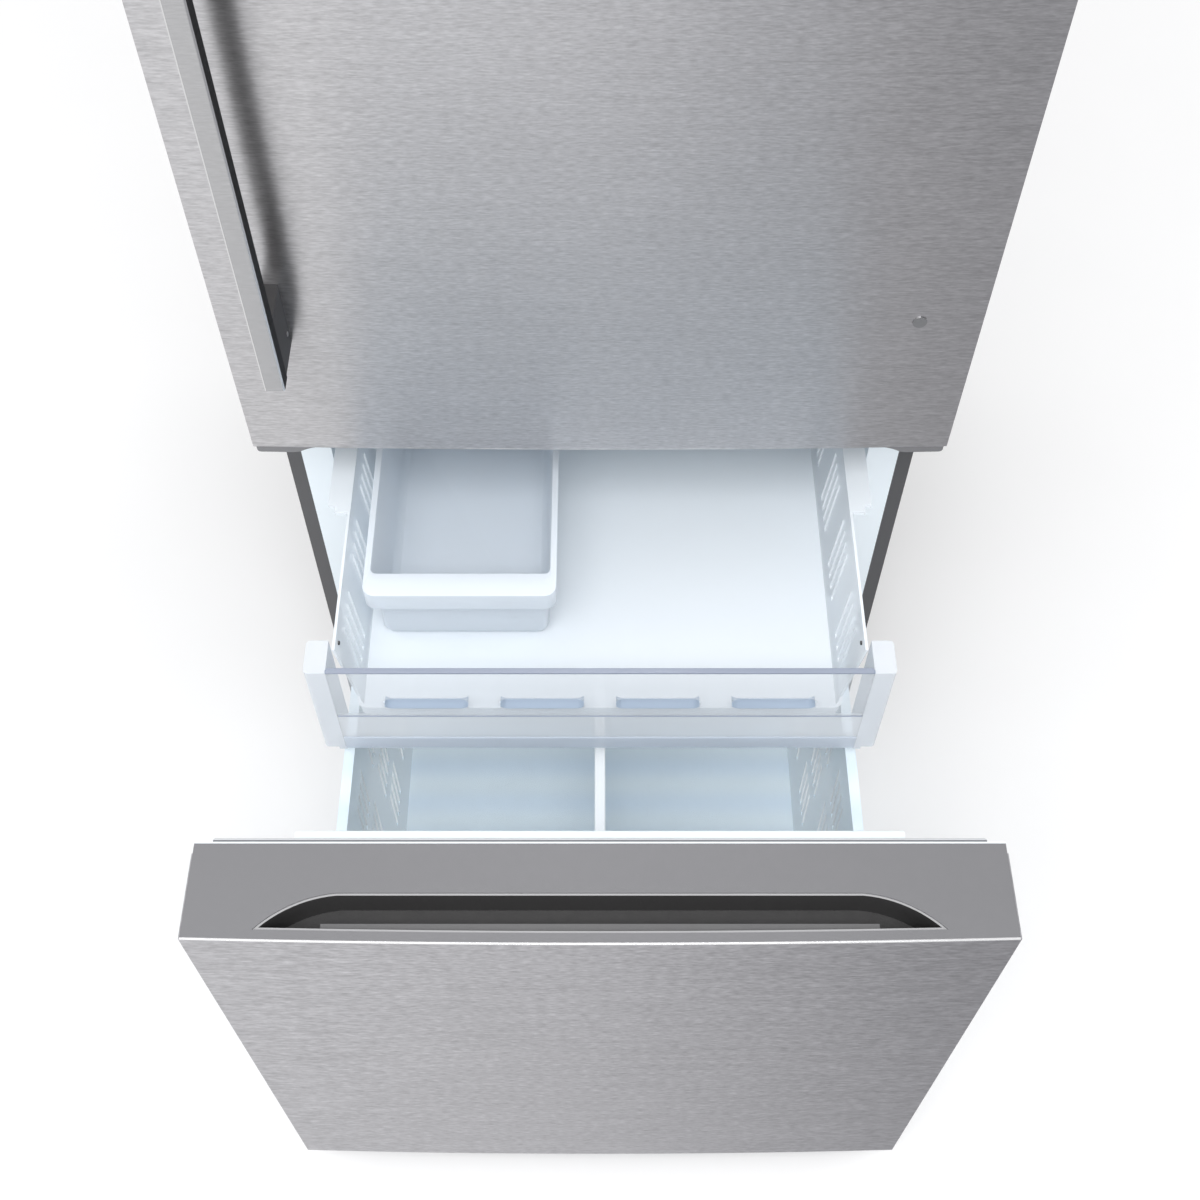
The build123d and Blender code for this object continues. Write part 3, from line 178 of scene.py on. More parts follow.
def surfaced(name, group, values, bump, sockets, waves=None):
    """Material whose colour, gloss and bump come from a group on the piece's own place."""
    material = bpy.data.materials.new(name)
    material.use_nodes = True
    tree = material.node_tree
    shader = tree.nodes["Principled BSDF"]
    where = tree.nodes.new("ShaderNodeTexCoord").outputs["Object"]
    if waves:
        where = stretched(tree, where, waves)
    face = tree.nodes.new("ShaderNodeGroup")
    face.node_tree = group
    tree.links.new(where, face.inputs["Place"])
    for label, value in values.items():
        feed(tree, face.inputs[label], value)
    relief = tree.nodes.new("ShaderNodeBump")
    relief.inputs["Strength"].default_value, relief.inputs["Distance"].default_value = bump
    tree.links.new(face.outputs["Height"], relief.inputs["Height"])
    tree.links.new(face.outputs["Colour"], shader.inputs["Base Color"])
    tree.links.new(face.outputs["Roughness"], shader.inputs["Roughness"])
    tree.links.new(relief.outputs[0], shader.inputs["Normal"])
    for socket, value in sockets.items():
        shader.inputs[socket.replace("_", " ")].default_value = value
    return material


def finish(name, colour, roughness, grain=700.0, depth=0.05, tone=0.05, dust=0.1, **sockets):
    """Moulded or coated material. Extra values go on the shader's own sockets."""
    values = {
        "Colour": colour,
        "Roughness": roughness,
        "Grain size": grain,
        "Tone change": tone,
        "Dust": dust,
    }
    return surfaced(name, moulded_surface, values, (depth, mould_bump), sockets)


def dress(material, *names):
    """Puts a material on CAD nodes."""
    for name in names:
        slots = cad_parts[name].data.materials
        slots.clear()
        slots.append(material)


case_paint = finish("case_paint", (0.085, 0.085, 0.09), 0.38, grain=420.0, depth=0.12, dust=0.14)
dress(case_paint, "cabinet_shell", "mullion_bar")

# Rear cover, back panel, base pan and axles: bare zinc-coated sheet steel, pressed and screwed
# together. The coating has the grey crystal pattern of galvanised metal.

crystal_waves = 90.0
crystal_dark = (0.34, 0.35, 0.36)
crystal_bright = (0.50, 0.51, 0.52)
crystal_gloss = 0.32
crystal_swing = 0.18


def node_of(tree, kind):
    """The material's node of that kind."""
    return next(node for node in tree.nodes if node.type == kind)


def make_zinc():
    """Zinc-coated steel, with crystals of slightly different tone and gloss."""
    material = finish(
        "zinc_steel", crystal_dark, crystal_gloss, grain=300.0, depth=0.05, Metallic=0.9
    )
    tree = material.node_tree
    face = node_of(tree, "GROUP")
    crystals = tree.nodes.new("ShaderNodeTexVoronoi")
    crystals.inputs["Scale"].default_value = crystal_waves
    tree.links.new(node_of(tree, "TEX_COORD").outputs["Object"], crystals.inputs["Vector"])
    grey = tree.nodes.new("ShaderNodeRGBToBW")
    tree.links.new(crystals.outputs["Color"], grey.inputs[0])
    tone = grey.outputs[0]
    tree.links.new(blend_colours(tree, tone, crystal_dark, crystal_bright), face.inputs["Colour"])
    rough = maths(tree, "ADD", maths(tree, "MULTIPLY", tone, crystal_swing), crystal_gloss)
    tree.links.new(rough, face.inputs["Roughness"])
    return material


dress(make_zinc(), "rear_cover", "back_panel", "base_frame", "roller_axles")

# Cover screws: pan-head steel screws with a round recess, driven through the back panel's edges
# and the corners of the rear cover into the case. One is made and the rest are copies of it.

cover_screw_radius = 0.0038
pan_height = 0.55
pan_profile = ((0.28, 0.16), (0.30, 0.0), (0.06, -0.30))
level_face = 0.9
screw_edge = 0.02
panel_screw_ends = 0.03
cover_screw_ends = 0.015


def select_faces(piece, wanted):
    """In edit mode, selects the faces that pass the test on their centre and normal."""
    bpy.ops.mesh.select_mode(type="FACE")
    bpy.ops.mesh.select_all(action="DESELECT")
    bpy.ops.object.mode_set(mode="OBJECT")
    for face in piece.data.polygons:
        face.select = wanted(face.center, face.normal)
    bpy.ops.object.mode_set(mode="EDIT")


def settle(piece, material, body, smooth=35.0):
    """Puts the piece's place in its mesh and gives it its material, body and slot."""
    if piece.mode == "EDIT":
        bpy.ops.object.mode_set(mode="OBJECT")
    bpy.ops.object.select_all(action="DESELECT")
    piece.select_set(True)
    bpy.context.view_layer.objects.active = piece
    bpy.ops.object.transform_apply(location=True, rotation=True, scale=True)
    bpy.ops.object.shade_smooth_by_angle(angle=math.radians(smooth))
    piece.data.materials.clear()
    piece.data.materials.append(material)
    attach(piece, body)


def screw_head(corners, radius, height, profile):
    """Head with its top along +Z, stepped inwards and up. Measures are shares of the radius."""
    bpy.ops.object.select_all(action="DESELECT")
    tall = radius * height
    bpy.ops.mesh.primitive_cylinder_add(
        vertices=corners, radius=radius, depth=tall, location=(0, 0, tall / 2)
    )
    head = bpy.context.object
    bpy.ops.object.transform_apply(location=True, rotation=True, scale=True)
    bpy.ops.object.mode_set(mode="EDIT")
    select_faces(head, lambda centre, normal: normal.z > level_face)
    for inwards, rise in profile:
        bpy.ops.mesh.inset(thickness=radius * inwards)
        bpy.ops.transform.translate(value=(0, 0, radius * rise))
    bpy.ops.object.mode_set(mode="OBJECT")
    return head


def copy_to(pattern, name, place, turn=(0, 0, 0)):
    """Copy of a piece, with a mesh of its own, put in its place."""
    twin = pattern.copy()
    twin.data = pattern.data.copy()
    twin.name = name
    twin.location = place
    twin.rotation_euler = turn
    bpy.context.collection.objects.link(twin)
    return twin


screw_steel = finish(
    "screw_steel", (0.62, 0.62, 0.63), 0.28, grain=900.0, depth=0.08, dust=0.05, Metallic=1.0
)
panel_low, panel_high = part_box("back_panel")
cover_low, cover_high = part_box("rear_cover")
screw_places = [
    (x, panel_high[1], z)
    for x in (panel_low[0] + screw_edge, 0.0, panel_high[0] - screw_edge)
    for z in (
        panel_low[2] + panel_screw_ends,
        (panel_low[2] + panel_high[2]) / 2,
        panel_high[2] - panel_screw_ends,
    )
]
screw_places += [
    (x, cover_high[1], z)
    for x in (cover_low[0] + screw_edge, 0.0, cover_high[0] - screw_edge)
    for z in (cover_low[2] + cover_screw_ends, cover_high[2] - cover_screw_ends)
]
pattern = screw_head(20, cover_screw_radius, pan_height, pan_profile)
for count, place in enumerate(screw_places):
    screw = copy_to(pattern, f"back_screw_{count}", place, (-math.pi / 2, 0, 0))
    settle(screw, screw_steel, "cabinet")
bpy.data.meshes.remove(pattern.data)

# Insulation: rigid polyurethane foam, poured in between shell and liners and hidden once they
# are closed. It is pale yellow with a skin of tiny cells.

foam = finish(
    "insulation_foam", (0.80, 0.72, 0.48), 0.85, grain=260.0, depth=0.6, tone=0.12, dust=0.0
)
dress(foam, "cabinet_insulation", "door_insulation", "drawer_insulation")

# Liners: high-impact plastic sheet, heated and drawn over a mould. They are a cool white, satin
# and a little wavy.

liner_white = finish(
    "liner_white",
    (0.86, 0.93, 0.98),
    0.36,
    grain=90.0,
    depth=0.04,
    tone=0.03,
    dust=0.0,
    Coat_Weight=0.15,
)
dress(liner_white, "fridge_liner", "freezer_liner", "door_liner", "drawer_liner")

# Toe grille, feet and rollers: black moulded plastic with a fine spark-eroded texture, clipped
# and screwed under the cabinet.

black_plastic = finish(
    "black_plastic", (0.022, 0.022, 0.024), 0.55, grain=900.0, depth=0.25, dust=0.45
)
dress(black_plastic, "toe_grille")
dress(black_plastic, "levelling_foot_left", "levelling_foot_right", "roller_left", "roller_right")

# Hinges: pressed steel plates in dark enamel, one over the upper door and one between the doors.
# Each is held by hexagon-headed bolts, and the top one lies under a grey plastic cover.

bolt_radius = 0.0042
hex_height = 0.8
hex_profile = ((0.16, 0.1), (0.18, -0.08))
bolt_across = (0.009, 0.025)
bolt_back = 0.003
bolt_drop = 0.006

hinge_enamel = finish(
    "hinge_enamel", (0.10, 0.10, 0.105), 0.36, grain=500.0, depth=0.1, Metallic=0.3
)
dress(hinge_enamel, "middle_hinge", "top_hinge")
hinge_grey = finish(
    "hinge_cover_grey", (0.30, 0.30, 0.315), 0.42, grain=800.0, depth=0.18, dust=0.3
)
dress(hinge_grey, "top_hinge_cover")
hinge_low, hinge_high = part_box("middle_hinge")
pattern = screw_head(6, bolt_radius, hex_height, hex_profile)
for count, across in enumerate(bolt_across):
    place = (hinge_low[0] + across, hinge_high[1] - bolt_back, hinge_high[2] - bolt_drop)
    bolt = copy_to(pattern, f"middle_hinge_bolt_{count}", place, (math.pi / 2, 0, 0))
    settle(bolt, screw_steel, "cabinet")
bpy.data.meshes.remove(pattern.data)

# Door skins: brushed stainless steel, folded back round both sides of each door and bowed at the
# front. The grain runs across the door in fine short streaks and blurs what it mirrors.

fine_waves = (95.0, 95.0, 620.0)
broad_waves = (12.0, 12.0, 240.0)
fine_share = 0.75
cloud_waves = 3.0
cloud_swing = 0.06
streak_gloss = 0.12
brush_bump = 0.0004
across_sheen = {"Anisotropic": 0.91, "Anisotropic_Rotation": 0.25}


def make_brushing():
    """Group for metal brushed along X: streaks in tone, gloss and height."""
    tree, given, result = new_group(
        "brushing",
        [
            ("Place", "NodeSocketVector", None),
            ("Colour", "NodeSocketColor", (0.5, 0.5, 0.5, 1)),
            ("Roughness", "NodeSocketFloat", 0.3),
            ("Streaks", "NodeSocketFloat", 0.3),
        ],
        face_gives,
    )
    place = given.outputs["Place"]
    fine = spots(tree, stretched(tree, place, fine_waves), 1.0, roughness=0.6)
    broad = spots(tree, stretched(tree, place, broad_waves), 1.0, detail=3.0, roughness=0.6)
    fine_part = maths(tree, "MULTIPLY", fine, fine_share)
    both = maths(tree, "ADD", fine_part, maths(tree, "MULTIPLY", broad, 1 - fine_share))
    swing = maths(tree, "MULTIPLY", maths(tree, "SUBTRACT", both, 0.5), given.outputs["Streaks"])
    cloudy = maths(tree, "SUBTRACT", spots(tree, place, cloud_waves), 0.5)
    slow = maths(tree, "MULTIPLY", cloudy, cloud_swing)
    lift = maths(tree, "ADD", maths(tree, "ADD", 1.0, swing), slow)
    toned = scaled_colour(tree, given.outputs["Colour"], lift)
    tree.links.new(toned, result.inputs["Colour"])
    gloss = maths(tree, "MULTIPLY", swing, streak_gloss)
    rough = maths(tree, "ADD", given.outputs["Roughness"], gloss)
    tree.links.new(rough, result.inputs["Roughness"])
    tree.links.new(both, result.inputs["Height"])
    return tree


brushing = make_brushing()


def brushed(name, colour, roughness, streaks, depth, fineness=1.0, **sockets):
    """Metal with the brushing group on it. A lower fineness makes taller streaks."""
    values = {"Colour": colour, "Roughness": roughness, "Streaks": streaks}
    sockets = {"Metallic": 1.0, **sockets}
    return surfaced(name, brushing, values, (depth, brush_bump), sockets, (1, 1, fineness))


door_steel = brushed(
    "door_steel", (0.555, 0.55, 0.565), 0.34, streaks=0.95, depth=0.12, **across_sheen
)
dress(door_steel, "door_skin")
# Painted shade: the drawer's steel is the door steel made darker; its streaks are also taller and
# stronger.
shaded_drawer_steel = brushed(
    "shaded_drawer_steel",
    (0.505, 0.50, 0.52),
    0.34,
    streaks=1.25,
    depth=0.16,
    fineness=0.6,
    **across_sheen,
)
dress(shaded_drawer_steel, "drawer_skin")

# Rolled hems: the skin's cut edge is folded back on itself along the top and bottom of each door,
# which leaves a round bead. It follows the bow of the front. The top beads carry a painted
# highlight: their steel is a paler, less metallic copy of the door steel.

door_bow = 0.005
bead = 0.0013
bead_proud = 0.0008
bead_tucked = 0.0003


def rolled_hem(name, low, high, level, proud, steel, body):
    """Bead along one bowed edge, made by spinning a small circle about the bow's centre."""
    half = (high[0] - low[0]) / 2 - bead
    radius = (half * half + door_bow * door_bow) / (2 * door_bow)
    front = low[1] + bead - proud
    bpy.ops.object.select_all(action="DESELECT")
    bpy.ops.mesh.primitive_circle_add(
        vertices=10,
        radius=bead,
        location=(-half, front + door_bow, level),
        rotation=(0, math.pi / 2, 0),
    )
    hem = bpy.context.object
    hem.name = name
    bpy.ops.object.transform_apply(location=True, rotation=True, scale=True)
    bpy.ops.object.mode_set(mode="EDIT")
    bpy.ops.mesh.select_all(action="SELECT")
    bpy.ops.mesh.spin(
        steps=28,
        angle=-2 * math.asin(half / radius),
        center=(0, front + radius, level),
        axis=(0, 0, 1),
    )
    bpy.ops.mesh.select_all(action="SELECT")
    bpy.ops.mesh.remove_doubles(threshold=0.00002)
    bpy.ops.mesh.select_all(action="DESELECT")
    bpy.ops.mesh.select_mode(type="EDGE")
    bpy.ops.mesh.select_non_manifold()
    bpy.ops.mesh.edge_face_add()
    bpy.ops.mesh.select_all(action="SELECT")
    bpy.ops.mesh.normals_make_consistent(inside=False)
    settle(hem, steel, body, smooth=60.0)


# Painted highlight: the top beads' steel is paler and less metallic than the door steel.
hem_highlight_steel = brushed("hem_highlight_steel", (0.70, 0.70, 0.71), 0.22, streaks=0.15, depth=0.1, Metallic=0.4)
for skin, body in (("door_skin", "upper_door"), ("drawer_skin", "freezer_drawer")):
    skin_low, skin_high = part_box(skin)
    foot_level = skin_low[2] + bead - bead_tucked
    head_level = skin_high[2] - bead + bead_proud
    rolled_hem(f"{skin}_hem_low", skin_low, skin_high, foot_level, bead_tucked, door_steel, body)
    rolled_hem(f"{skin}_hem_high", skin_low, skin_high, head_level, bead_proud, hem_highlight_steel, body)

# Door caps: satin grey plastic mouldings that close the doors' ends between the skin and the
# liner. Their face has a fine even texture that looks like metallic paint.

cap_grey = finish(
    "cap_grey",
    (0.205, 0.205, 0.215),
    0.4,
    grain=1500.0,
    depth=0.1,
    tone=0.02,
    dust=0.03,
    Metallic=0.25,
)
dress(cap_grey, "door_cap_top", "door_cap_bottom", "drawer_cap_top", "drawer_cap_bottom")

# Edge strips: grey plastic channels snapped between the skin's folded side and the liner, which
# hide the foam. They end against the caps, whose colour they share.

strip_proud = 0.0009
strip_sunk = 0.002
strip_lap = 0.0006
strip_end_lap = 0.0002
strip_round = 0.0004


def moulded_bar(name, low, high, round_off, material, body):
    """Straight moulded bar between two corners, its edges rounded by a bevel."""
    bpy.ops.object.select_all(action="DESELECT")
    middle = [(a + b) / 2 for a, b in zip(low, high)]
    bpy.ops.mesh.primitive_cube_add(size=1, location=middle)
    bar = bpy.context.object
    bar.name = name
    bar.scale = [b - a for a, b in zip(low, high)]
    bpy.ops.object.transform_apply(location=True, rotation=True, scale=True)
    bpy.ops.object.mode_set(mode="EDIT")
    bpy.ops.mesh.select_all(action="SELECT")
    bpy.ops.mesh.bevel(offset=round_off, segments=3, affect="EDGES")
    settle(bar, material, body, smooth=40.0)


for door, body in (("door", "upper_door"), ("drawer", "freezer_drawer")):
    skin_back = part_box(f"{door}_skin")[1][1]
    liner_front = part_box(f"{door}_cap_top")[1][1]
    strip_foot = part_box(f"{door}_cap_bottom")[1][2]
    strip_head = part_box(f"{door}_cap_top")[0][2]
    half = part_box(f"{door}_insulation")[1][0]
    for side, label in ((-1, "left"), (1, "right")):
        across = sorted((side * (half - strip_sunk), side * (half + strip_proud)))
        low = (across[0], skin_back - strip_lap, strip_foot - strip_end_lap)
        high = (across[1], liner_front, strip_head + strip_end_lap)
        name = f"{door}_edge_{label}"
        moulded_bar(name, low, high, strip_round, cap_grey, body)

# Finger pocket: a separate dark cup, pressed up into the drawer's top cap. It is matte; the
# up-facing ledge inside is painted paler as painted light, and the brim of its mouth carries a
# painted highlight.

pocket_dark = (0.045, 0.044, 0.045)
pocket_ledge_light = (0.13, 0.13, 0.133)
pocket_brim_highlight = (0.36, 0.36, 0.37)
ledge_depth = 0.014
brim_depth = 0.001


def place_of(tree):
    """X, Y and Z of the point on the piece."""
    return axes(tree, node_of(tree, "TEX_COORD").outputs["Object"])


def make_pocket_plastic():
    """Charcoal plastic, with painted light on its up-facing ledge inside and a painted highlight
    on its brim.
    """
    material = finish(
        "pocket_dark", pocket_dark, 0.42, grain=1200.0, depth=0.2, tone=0.06, dust=0.04
    )
    tree = material.node_tree
    height = place_of(tree)["Z"]
    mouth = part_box("drawer_handle_cup")[1][2]
    up = maths(tree, "GREATER_THAN", facing(tree)["Z"], level_face)
    near_top = maths(tree, "GREATER_THAN", height, mouth - ledge_depth)
    at_top = maths(tree, "GREATER_THAN", height, mouth - brim_depth)
    ledge = maths(tree, "MULTIPLY", up, near_top)
    brim = maths(tree, "MULTIPLY", up, at_top)
    # Painted light on the up-facing ledge, then a painted highlight on the brim.
    inside = blend_colours(tree, ledge, pocket_dark, pocket_ledge_light)
    shade = blend_colours(tree, brim, inside, pocket_brim_highlight)
    tree.links.new(shade, node_of(tree, "GROUP").inputs["Colour"])
    return material


dress(make_pocket_plastic(), "drawer_handle_cup")

# Door seals: white soft vinyl, extruded with a magnet tube and a bellows fold, welded at the
# corners and pressed into a groove in the liner.

seal_white = (0.64, 0.66, 0.68)
# Painted shade in the bellows' fold.
fold_shade_grey = (0.20, 0.205, 0.22)
fold_depth = 0.0072
fold_reach = 0.0009
slack = 0.0002
seal_profile = (
    (0.0, 0.0035),
    (0.0006, 0.0011),
    (0.0004, 0.0006),
    (0.0003, 0.0038),
    (0.0012, 0.0014),
    (0.0040, 0.0),
    (0.0012, -0.0014),
    (0.0003, -0.0046),
    (0.0020, -0.0006),
    (0.0003, 0.0044),
    (0.0012, 0.0014),
    (0.0030, 0.0),
    (0.0012, -0.0016),
    (0.0003, -0.0038),
    (0.0004, -0.0006),
)


def make_seal_vinyl(name, fold):
    """White vinyl, with painted shade: grey in the fold of its bellows."""
    material = finish(name, seal_white, 0.5, grain=500.0, depth=0.15, tone=0.04, dust=0.02)
    tree = material.node_tree
    away = maths(tree, "ABSOLUTE", maths(tree, "SUBTRACT", place_of(tree)["Y"], fold))
    inside = maths(tree, "LESS_THAN", away, fold_reach)
    shade = blend_colours(tree, inside, seal_white, fold_shade_grey)
    tree.links.new(shade, node_of(tree, "GROUP").inputs["Colour"])
    return material


def seal(name, node, body):
    """Frame that follows the profile, a step inwards and a step back at a time."""
    low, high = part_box(node)
    bpy.ops.object.select_all(action="DESELECT")
    bpy.ops.mesh.primitive_plane_add(
        size=1, location=(0, low[1], (low[2] + high[2]) / 2), rotation=(-math.pi / 2, 0, 0)
    )
    ring = bpy.context.object
    ring.name = name
    ring.scale = (high[0] - low[0], high[2] - low[2], 1)
    bpy.ops.object.transform_apply(location=True, rotation=True, scale=True)
    bpy.ops.object.mode_set(mode="EDIT")
    bpy.ops.mesh.select_all(action="SELECT")
    for inwards, rise in seal_profile:
        if inwards:
            bpy.ops.mesh.inset(thickness=inwards)
            bpy.ops.transform.translate(value=(0, rise, 0))
        else:
            bpy.ops.mesh.extrude_region_move(TRANSFORM_OT_translate={"value": (0, rise, 0)})
    bpy.ops.mesh.delete(type="FACE")
    front = low[1] + slack
    select_faces(ring, lambda centre, normal: normal.y < -level_face and centre.y < front)
    bpy.ops.mesh.delete(type="FACE")
    bpy.ops.mesh.select_mode(type="EDGE")
    bpy.ops.mesh.select_all(action="DESELECT")
    bpy.ops.mesh.select_non_manifold()
    bpy.ops.mesh.bridge_edge_loops()
    bpy.ops.mesh.select_all(action="SELECT")
    bpy.ops.mesh.normals_make_consistent(inside=False)
    vinyl = make_seal_vinyl(f"{name}_vinyl", low[1] + fold_depth)
    settle(ring, vinyl, body, smooth=50.0)
    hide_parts(node)


seal("upper_seal", "door_gasket", "upper_door")
seal("drawer_seal", "drawer_gasket", "freezer_drawer")

# Bar handle: a square aluminium bar, satin on its front and dark on its other faces, on two dark
# posts that stand off the door. A socket screw locks each post from the side.

# Painted highlight: the chamfers beside the front face are paler than the front.
chamfer_highlight = (0.70, 0.70, 0.71)
anodised_dark = (0.02, 0.02, 0.021)
anodised_matt = 0.3
front_and_chamfers = -0.55
front_only = -0.85


def make_bar_metal():
    """Satin silver on the face away from the door, a painted highlight on its chamfers, dark
    anodising on the rest.
    """
    material = brushed("handle_silver", (0.50, 0.50, 0.51), 0.26, streaks=0.3, depth=0.06)
    tree = material.node_tree
    shader = tree.nodes["Principled BSDF"]
    grain = node_of(tree, "GROUP")
    outwards = facing(tree)["Y"]
    front = maths(tree, "LESS_THAN", outwards, front_and_chamfers)
    flat = maths(tree, "LESS_THAN", outwards, front_only)
    silver = blend_colours(tree, flat, chamfer_highlight, grain.outputs["Colour"])
    shade = blend_colours(tree, front, anodised_dark, silver)
    tree.links.new(shade, shader.inputs["Base Color"])
    matt = maths(tree, "MULTIPLY", maths(tree, "SUBTRACT", 1.0, front), anodised_matt)
    rough = maths(tree, "ADD", grain.outputs["Roughness"], matt)
    tree.links.new(rough, shader.inputs["Roughness"])
    return material


dress(make_bar_metal(), "handle_bar")
post_charcoal = finish(
    "post_charcoal", (0.032, 0.031, 0.033), 0.5, grain=900.0, depth=0.12, tone=0.05, dust=0.04
)
dress(post_charcoal, "handle_posts")
dress(screw_steel, "handle_set_screws")

# Plain disc: a small round button pressed from sheet metal, its face brushed to a satin grey. It
# is glued to the door.

disc_grey = brushed("disc_grey", (0.42, 0.42, 0.425), 0.34, streaks=0.2, depth=0.1)
dress(disc_grey, "badge_disc")

# Clear drawers and bins: polystyrene, injection moulded, clear with a faint blue cast. The
# crispers slide on the liner's floor and the bins drop in between the door liner's ridges.

clear_plastic = finish(
    "clear_plastic",
    (0.84, 0.92, 0.97),
    0.08,
    grain=60.0,
    depth=0.03,
    tone=0.02,
    dust=0.0,
    Alpha=0.32,
)
dress(clear_plastic, "crisper_left", "crisper_right", "door_bins")

# Shelves: tempered glass with a green edge, set in white plastic frames that rest on the liner's
# ledges. The white plastic parts inside both rooms share the frames' finish.

shelf_glass = finish(
    "shelf_glass",
    (0.88, 0.97, 0.94),
    0.03,
    grain=40.0,
    depth=0.01,
    tone=0.02,
    dust=0.0,
    Transmission_Weight=0.95,
    IOR=1.45,
)
dress(shelf_glass, "shelf_glass")
trim_white = finish(
    "trim_white", (0.88, 0.92, 0.95), 0.36, grain=500.0, depth=0.05, tone=0.03, dust=0.0
)
dress(trim_white, "shelf_frames", "air_duct_panel", "control_panel")
dress(trim_white, "evaporator_cover", "evaporator_fan")

# Ceiling lamp: a frosted lens of moulded plastic, clipped under the fridge liner's top. It
# spreads the light of the lamp behind it.

lens = finish(
    "lamp_lens",
    (0.93, 0.93, 0.90),
    0.4,
    grain=300.0,
    depth=0.1,
    dust=0.0,
    Transmission_Weight=0.3,
)
dress(lens, "light_cover")

# Drawer slides: three nested channels of zinc-coated steel on each side, with rolling balls
# between them. The inner one bolts to the drawer and carries the basket.

slide_zinc = finish(
    "slide_zinc",
    (0.60, 0.61, 0.62),
    0.33,
    grain=500.0,
    depth=0.06,
    tone=0.06,
    dust=0.05,
    Metallic=0.9,
)
dress(slide_zinc, "drawer_slide_outers", "drawer_slide_middles", "drawer_slide_inners")

# Lower basket: tinted translucent plastic with slanted slots and shallow bands across its floor.
# It hangs by its rim from the slides, and a white divider stands across it.

flat_face = 0.7
light_passed = 0.65
basket_pale = (0.83, 0.935, 1.0)
basket_deep = (0.66, 0.80, 0.97)
slot_white = (0.94, 0.98, 1.0)
band_waves = 5.5
band_share = 0.4
band_height = 2.0
basket_bump = (0.3, 0.004)
basket_walls = 0.6
slot_tilt = (0.1, 0.9)
slot_across = 0.3


def let_light_through(material, walls):
    """Gives upright walls an alpha of their own, and lets lamplight on through all of it."""
    tree = material.node_tree
    alpha = tree.nodes["Principled BSDF"].inputs["Alpha"]
    flat = maths(tree, "ABSOLUTE", facing(tree)["Z"])
    flat = maths(tree, "GREATER_THAN", flat, flat_face)
    extra = maths(tree, "MULTIPLY", flat, alpha.default_value - walls)
    ray = tree.nodes.new("ShaderNodeLightPath")
    lamplight = maths(
        tree, "MAXIMUM", ray.outputs["Is Shadow Ray"], ray.outputs["Is Diffuse Ray"]
    )
    held_back = maths(tree, "SUBTRACT", 1.0, maths(tree, "MULTIPLY", lamplight, light_passed))
    share = maths(tree, "ADD", extra, walls)
    tree.links.new(maths(tree, "MULTIPLY", share, held_back), alpha)
    return material


def make_basket_plastic():
    """Cool translucent plastic with bands across its floor and pale edges on its slots."""
    material = finish(
        "basket_blue",
        basket_pale,
        0.38,
        grain=900.0,
        tone=0.03,
        dust=0.0,
        Alpha=0.95,
        Specular_IOR_Level=0.3,
    )
    tree = material.node_tree
    face = node_of(tree, "GROUP")
    relief = node_of(tree, "BUMP")
    relief.inputs["Strength"].default_value, relief.inputs["Distance"].default_value = basket_bump
    bands = tree.nodes.new("ShaderNodeTexWave")
    bands.bands_direction = "Y"
    bands.inputs["Scale"].default_value = band_waves
    tree.links.new(node_of(tree, "TEX_COORD").outputs["Object"], bands.inputs["Vector"])
    turned = facing(tree)
    up = maths(tree, "GREATER_THAN", turned["Z"], level_face)
    on_floor = maths(tree, "MULTIPLY", bands.outputs["Fac"], up)
    ribs = maths(tree, "MULTIPLY", on_floor, band_height)
    ribbed = maths(tree, "ADD", ribs, face.outputs["Height"])
    tree.links.new(ribbed, relief.inputs["Height"])
    band = maths(tree, "MULTIPLY", on_floor, band_share)
    sheet = blend_colours(tree, band, basket_pale, basket_deep)
    tilt = maths(tree, "ABSOLUTE", turned["Z"])
    steep = maths(tree, "GREATER_THAN", tilt, slot_tilt[0])
    slanted = maths(tree, "MULTIPLY", steep, maths(tree, "LESS_THAN", tilt, slot_tilt[1]))
    cut = maths(tree, "LESS_THAN", maths(tree, "ABSOLUTE", turned["X"]), slot_across)
    rim = maths(tree, "MULTIPLY", cut, slanted)
    tree.links.new(blend_colours(tree, rim, sheet, slot_white), face.inputs["Colour"])
    return material


dress(let_light_through(make_basket_plastic(), basket_walls), "lower_basket")
dress(trim_white, "basket_divider")

# Tray: milky white tub with slots in its sides, on runners that slide in channels on the
# freezer's walls.

tray_walls = 0.65
tray_white = finish(
    "tray_white",
    (0.81, 0.865, 0.915),
    0.38,
    grain=900.0,
    depth=0.02,
    tone=0.02,
    dust=0.0,
    Alpha=0.95,
    Specular_IOR_Level=0.3,
)
dress(let_light_through(tray_white, tray_walls), "tray_tub", "tray_rails")

# Tray front: a clear moulded panel with four long vents. It is capped at both ends with milky
# white mouldings that hook on the tub.

panel_tint = (0.93, 0.955, 0.99)
panel_edge_blue = (0.30, 0.36, 0.46)
panel_alpha = 0.2
edge_alpha = 0.7
milky_alpha = 0.3
edge_depth = 0.003
milky_from = 0.095


def make_panel_plastic():
    """Clear plastic whose polished top edge gathers a grey blue, milkier towards its foot."""
    material = finish(
        "panel_clear", panel_tint, 0.06, grain=40.0, depth=0.02, tone=0.02, dust=0.0
    )
    tree = material.node_tree
    height = place_of(tree)["Z"]
    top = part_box("tray_front_panel")[1][2]
    edge = maths(tree, "GREATER_THAN", height, top - edge_depth)
    milky = maths(tree, "LESS_THAN", height, top - milky_from)
    shade = blend_colours(tree, edge, panel_tint, panel_edge_blue)
    tree.links.new(shade, node_of(tree, "GROUP").inputs["Colour"])
    solid = maths(tree, "ADD", maths(tree, "MULTIPLY", edge, edge_alpha), panel_alpha)
    solid = maths(tree, "ADD", solid, maths(tree, "MULTIPLY", milky, milky_alpha))
    tree.links.new(solid, tree.nodes["Principled BSDF"].inputs["Alpha"])
    return material


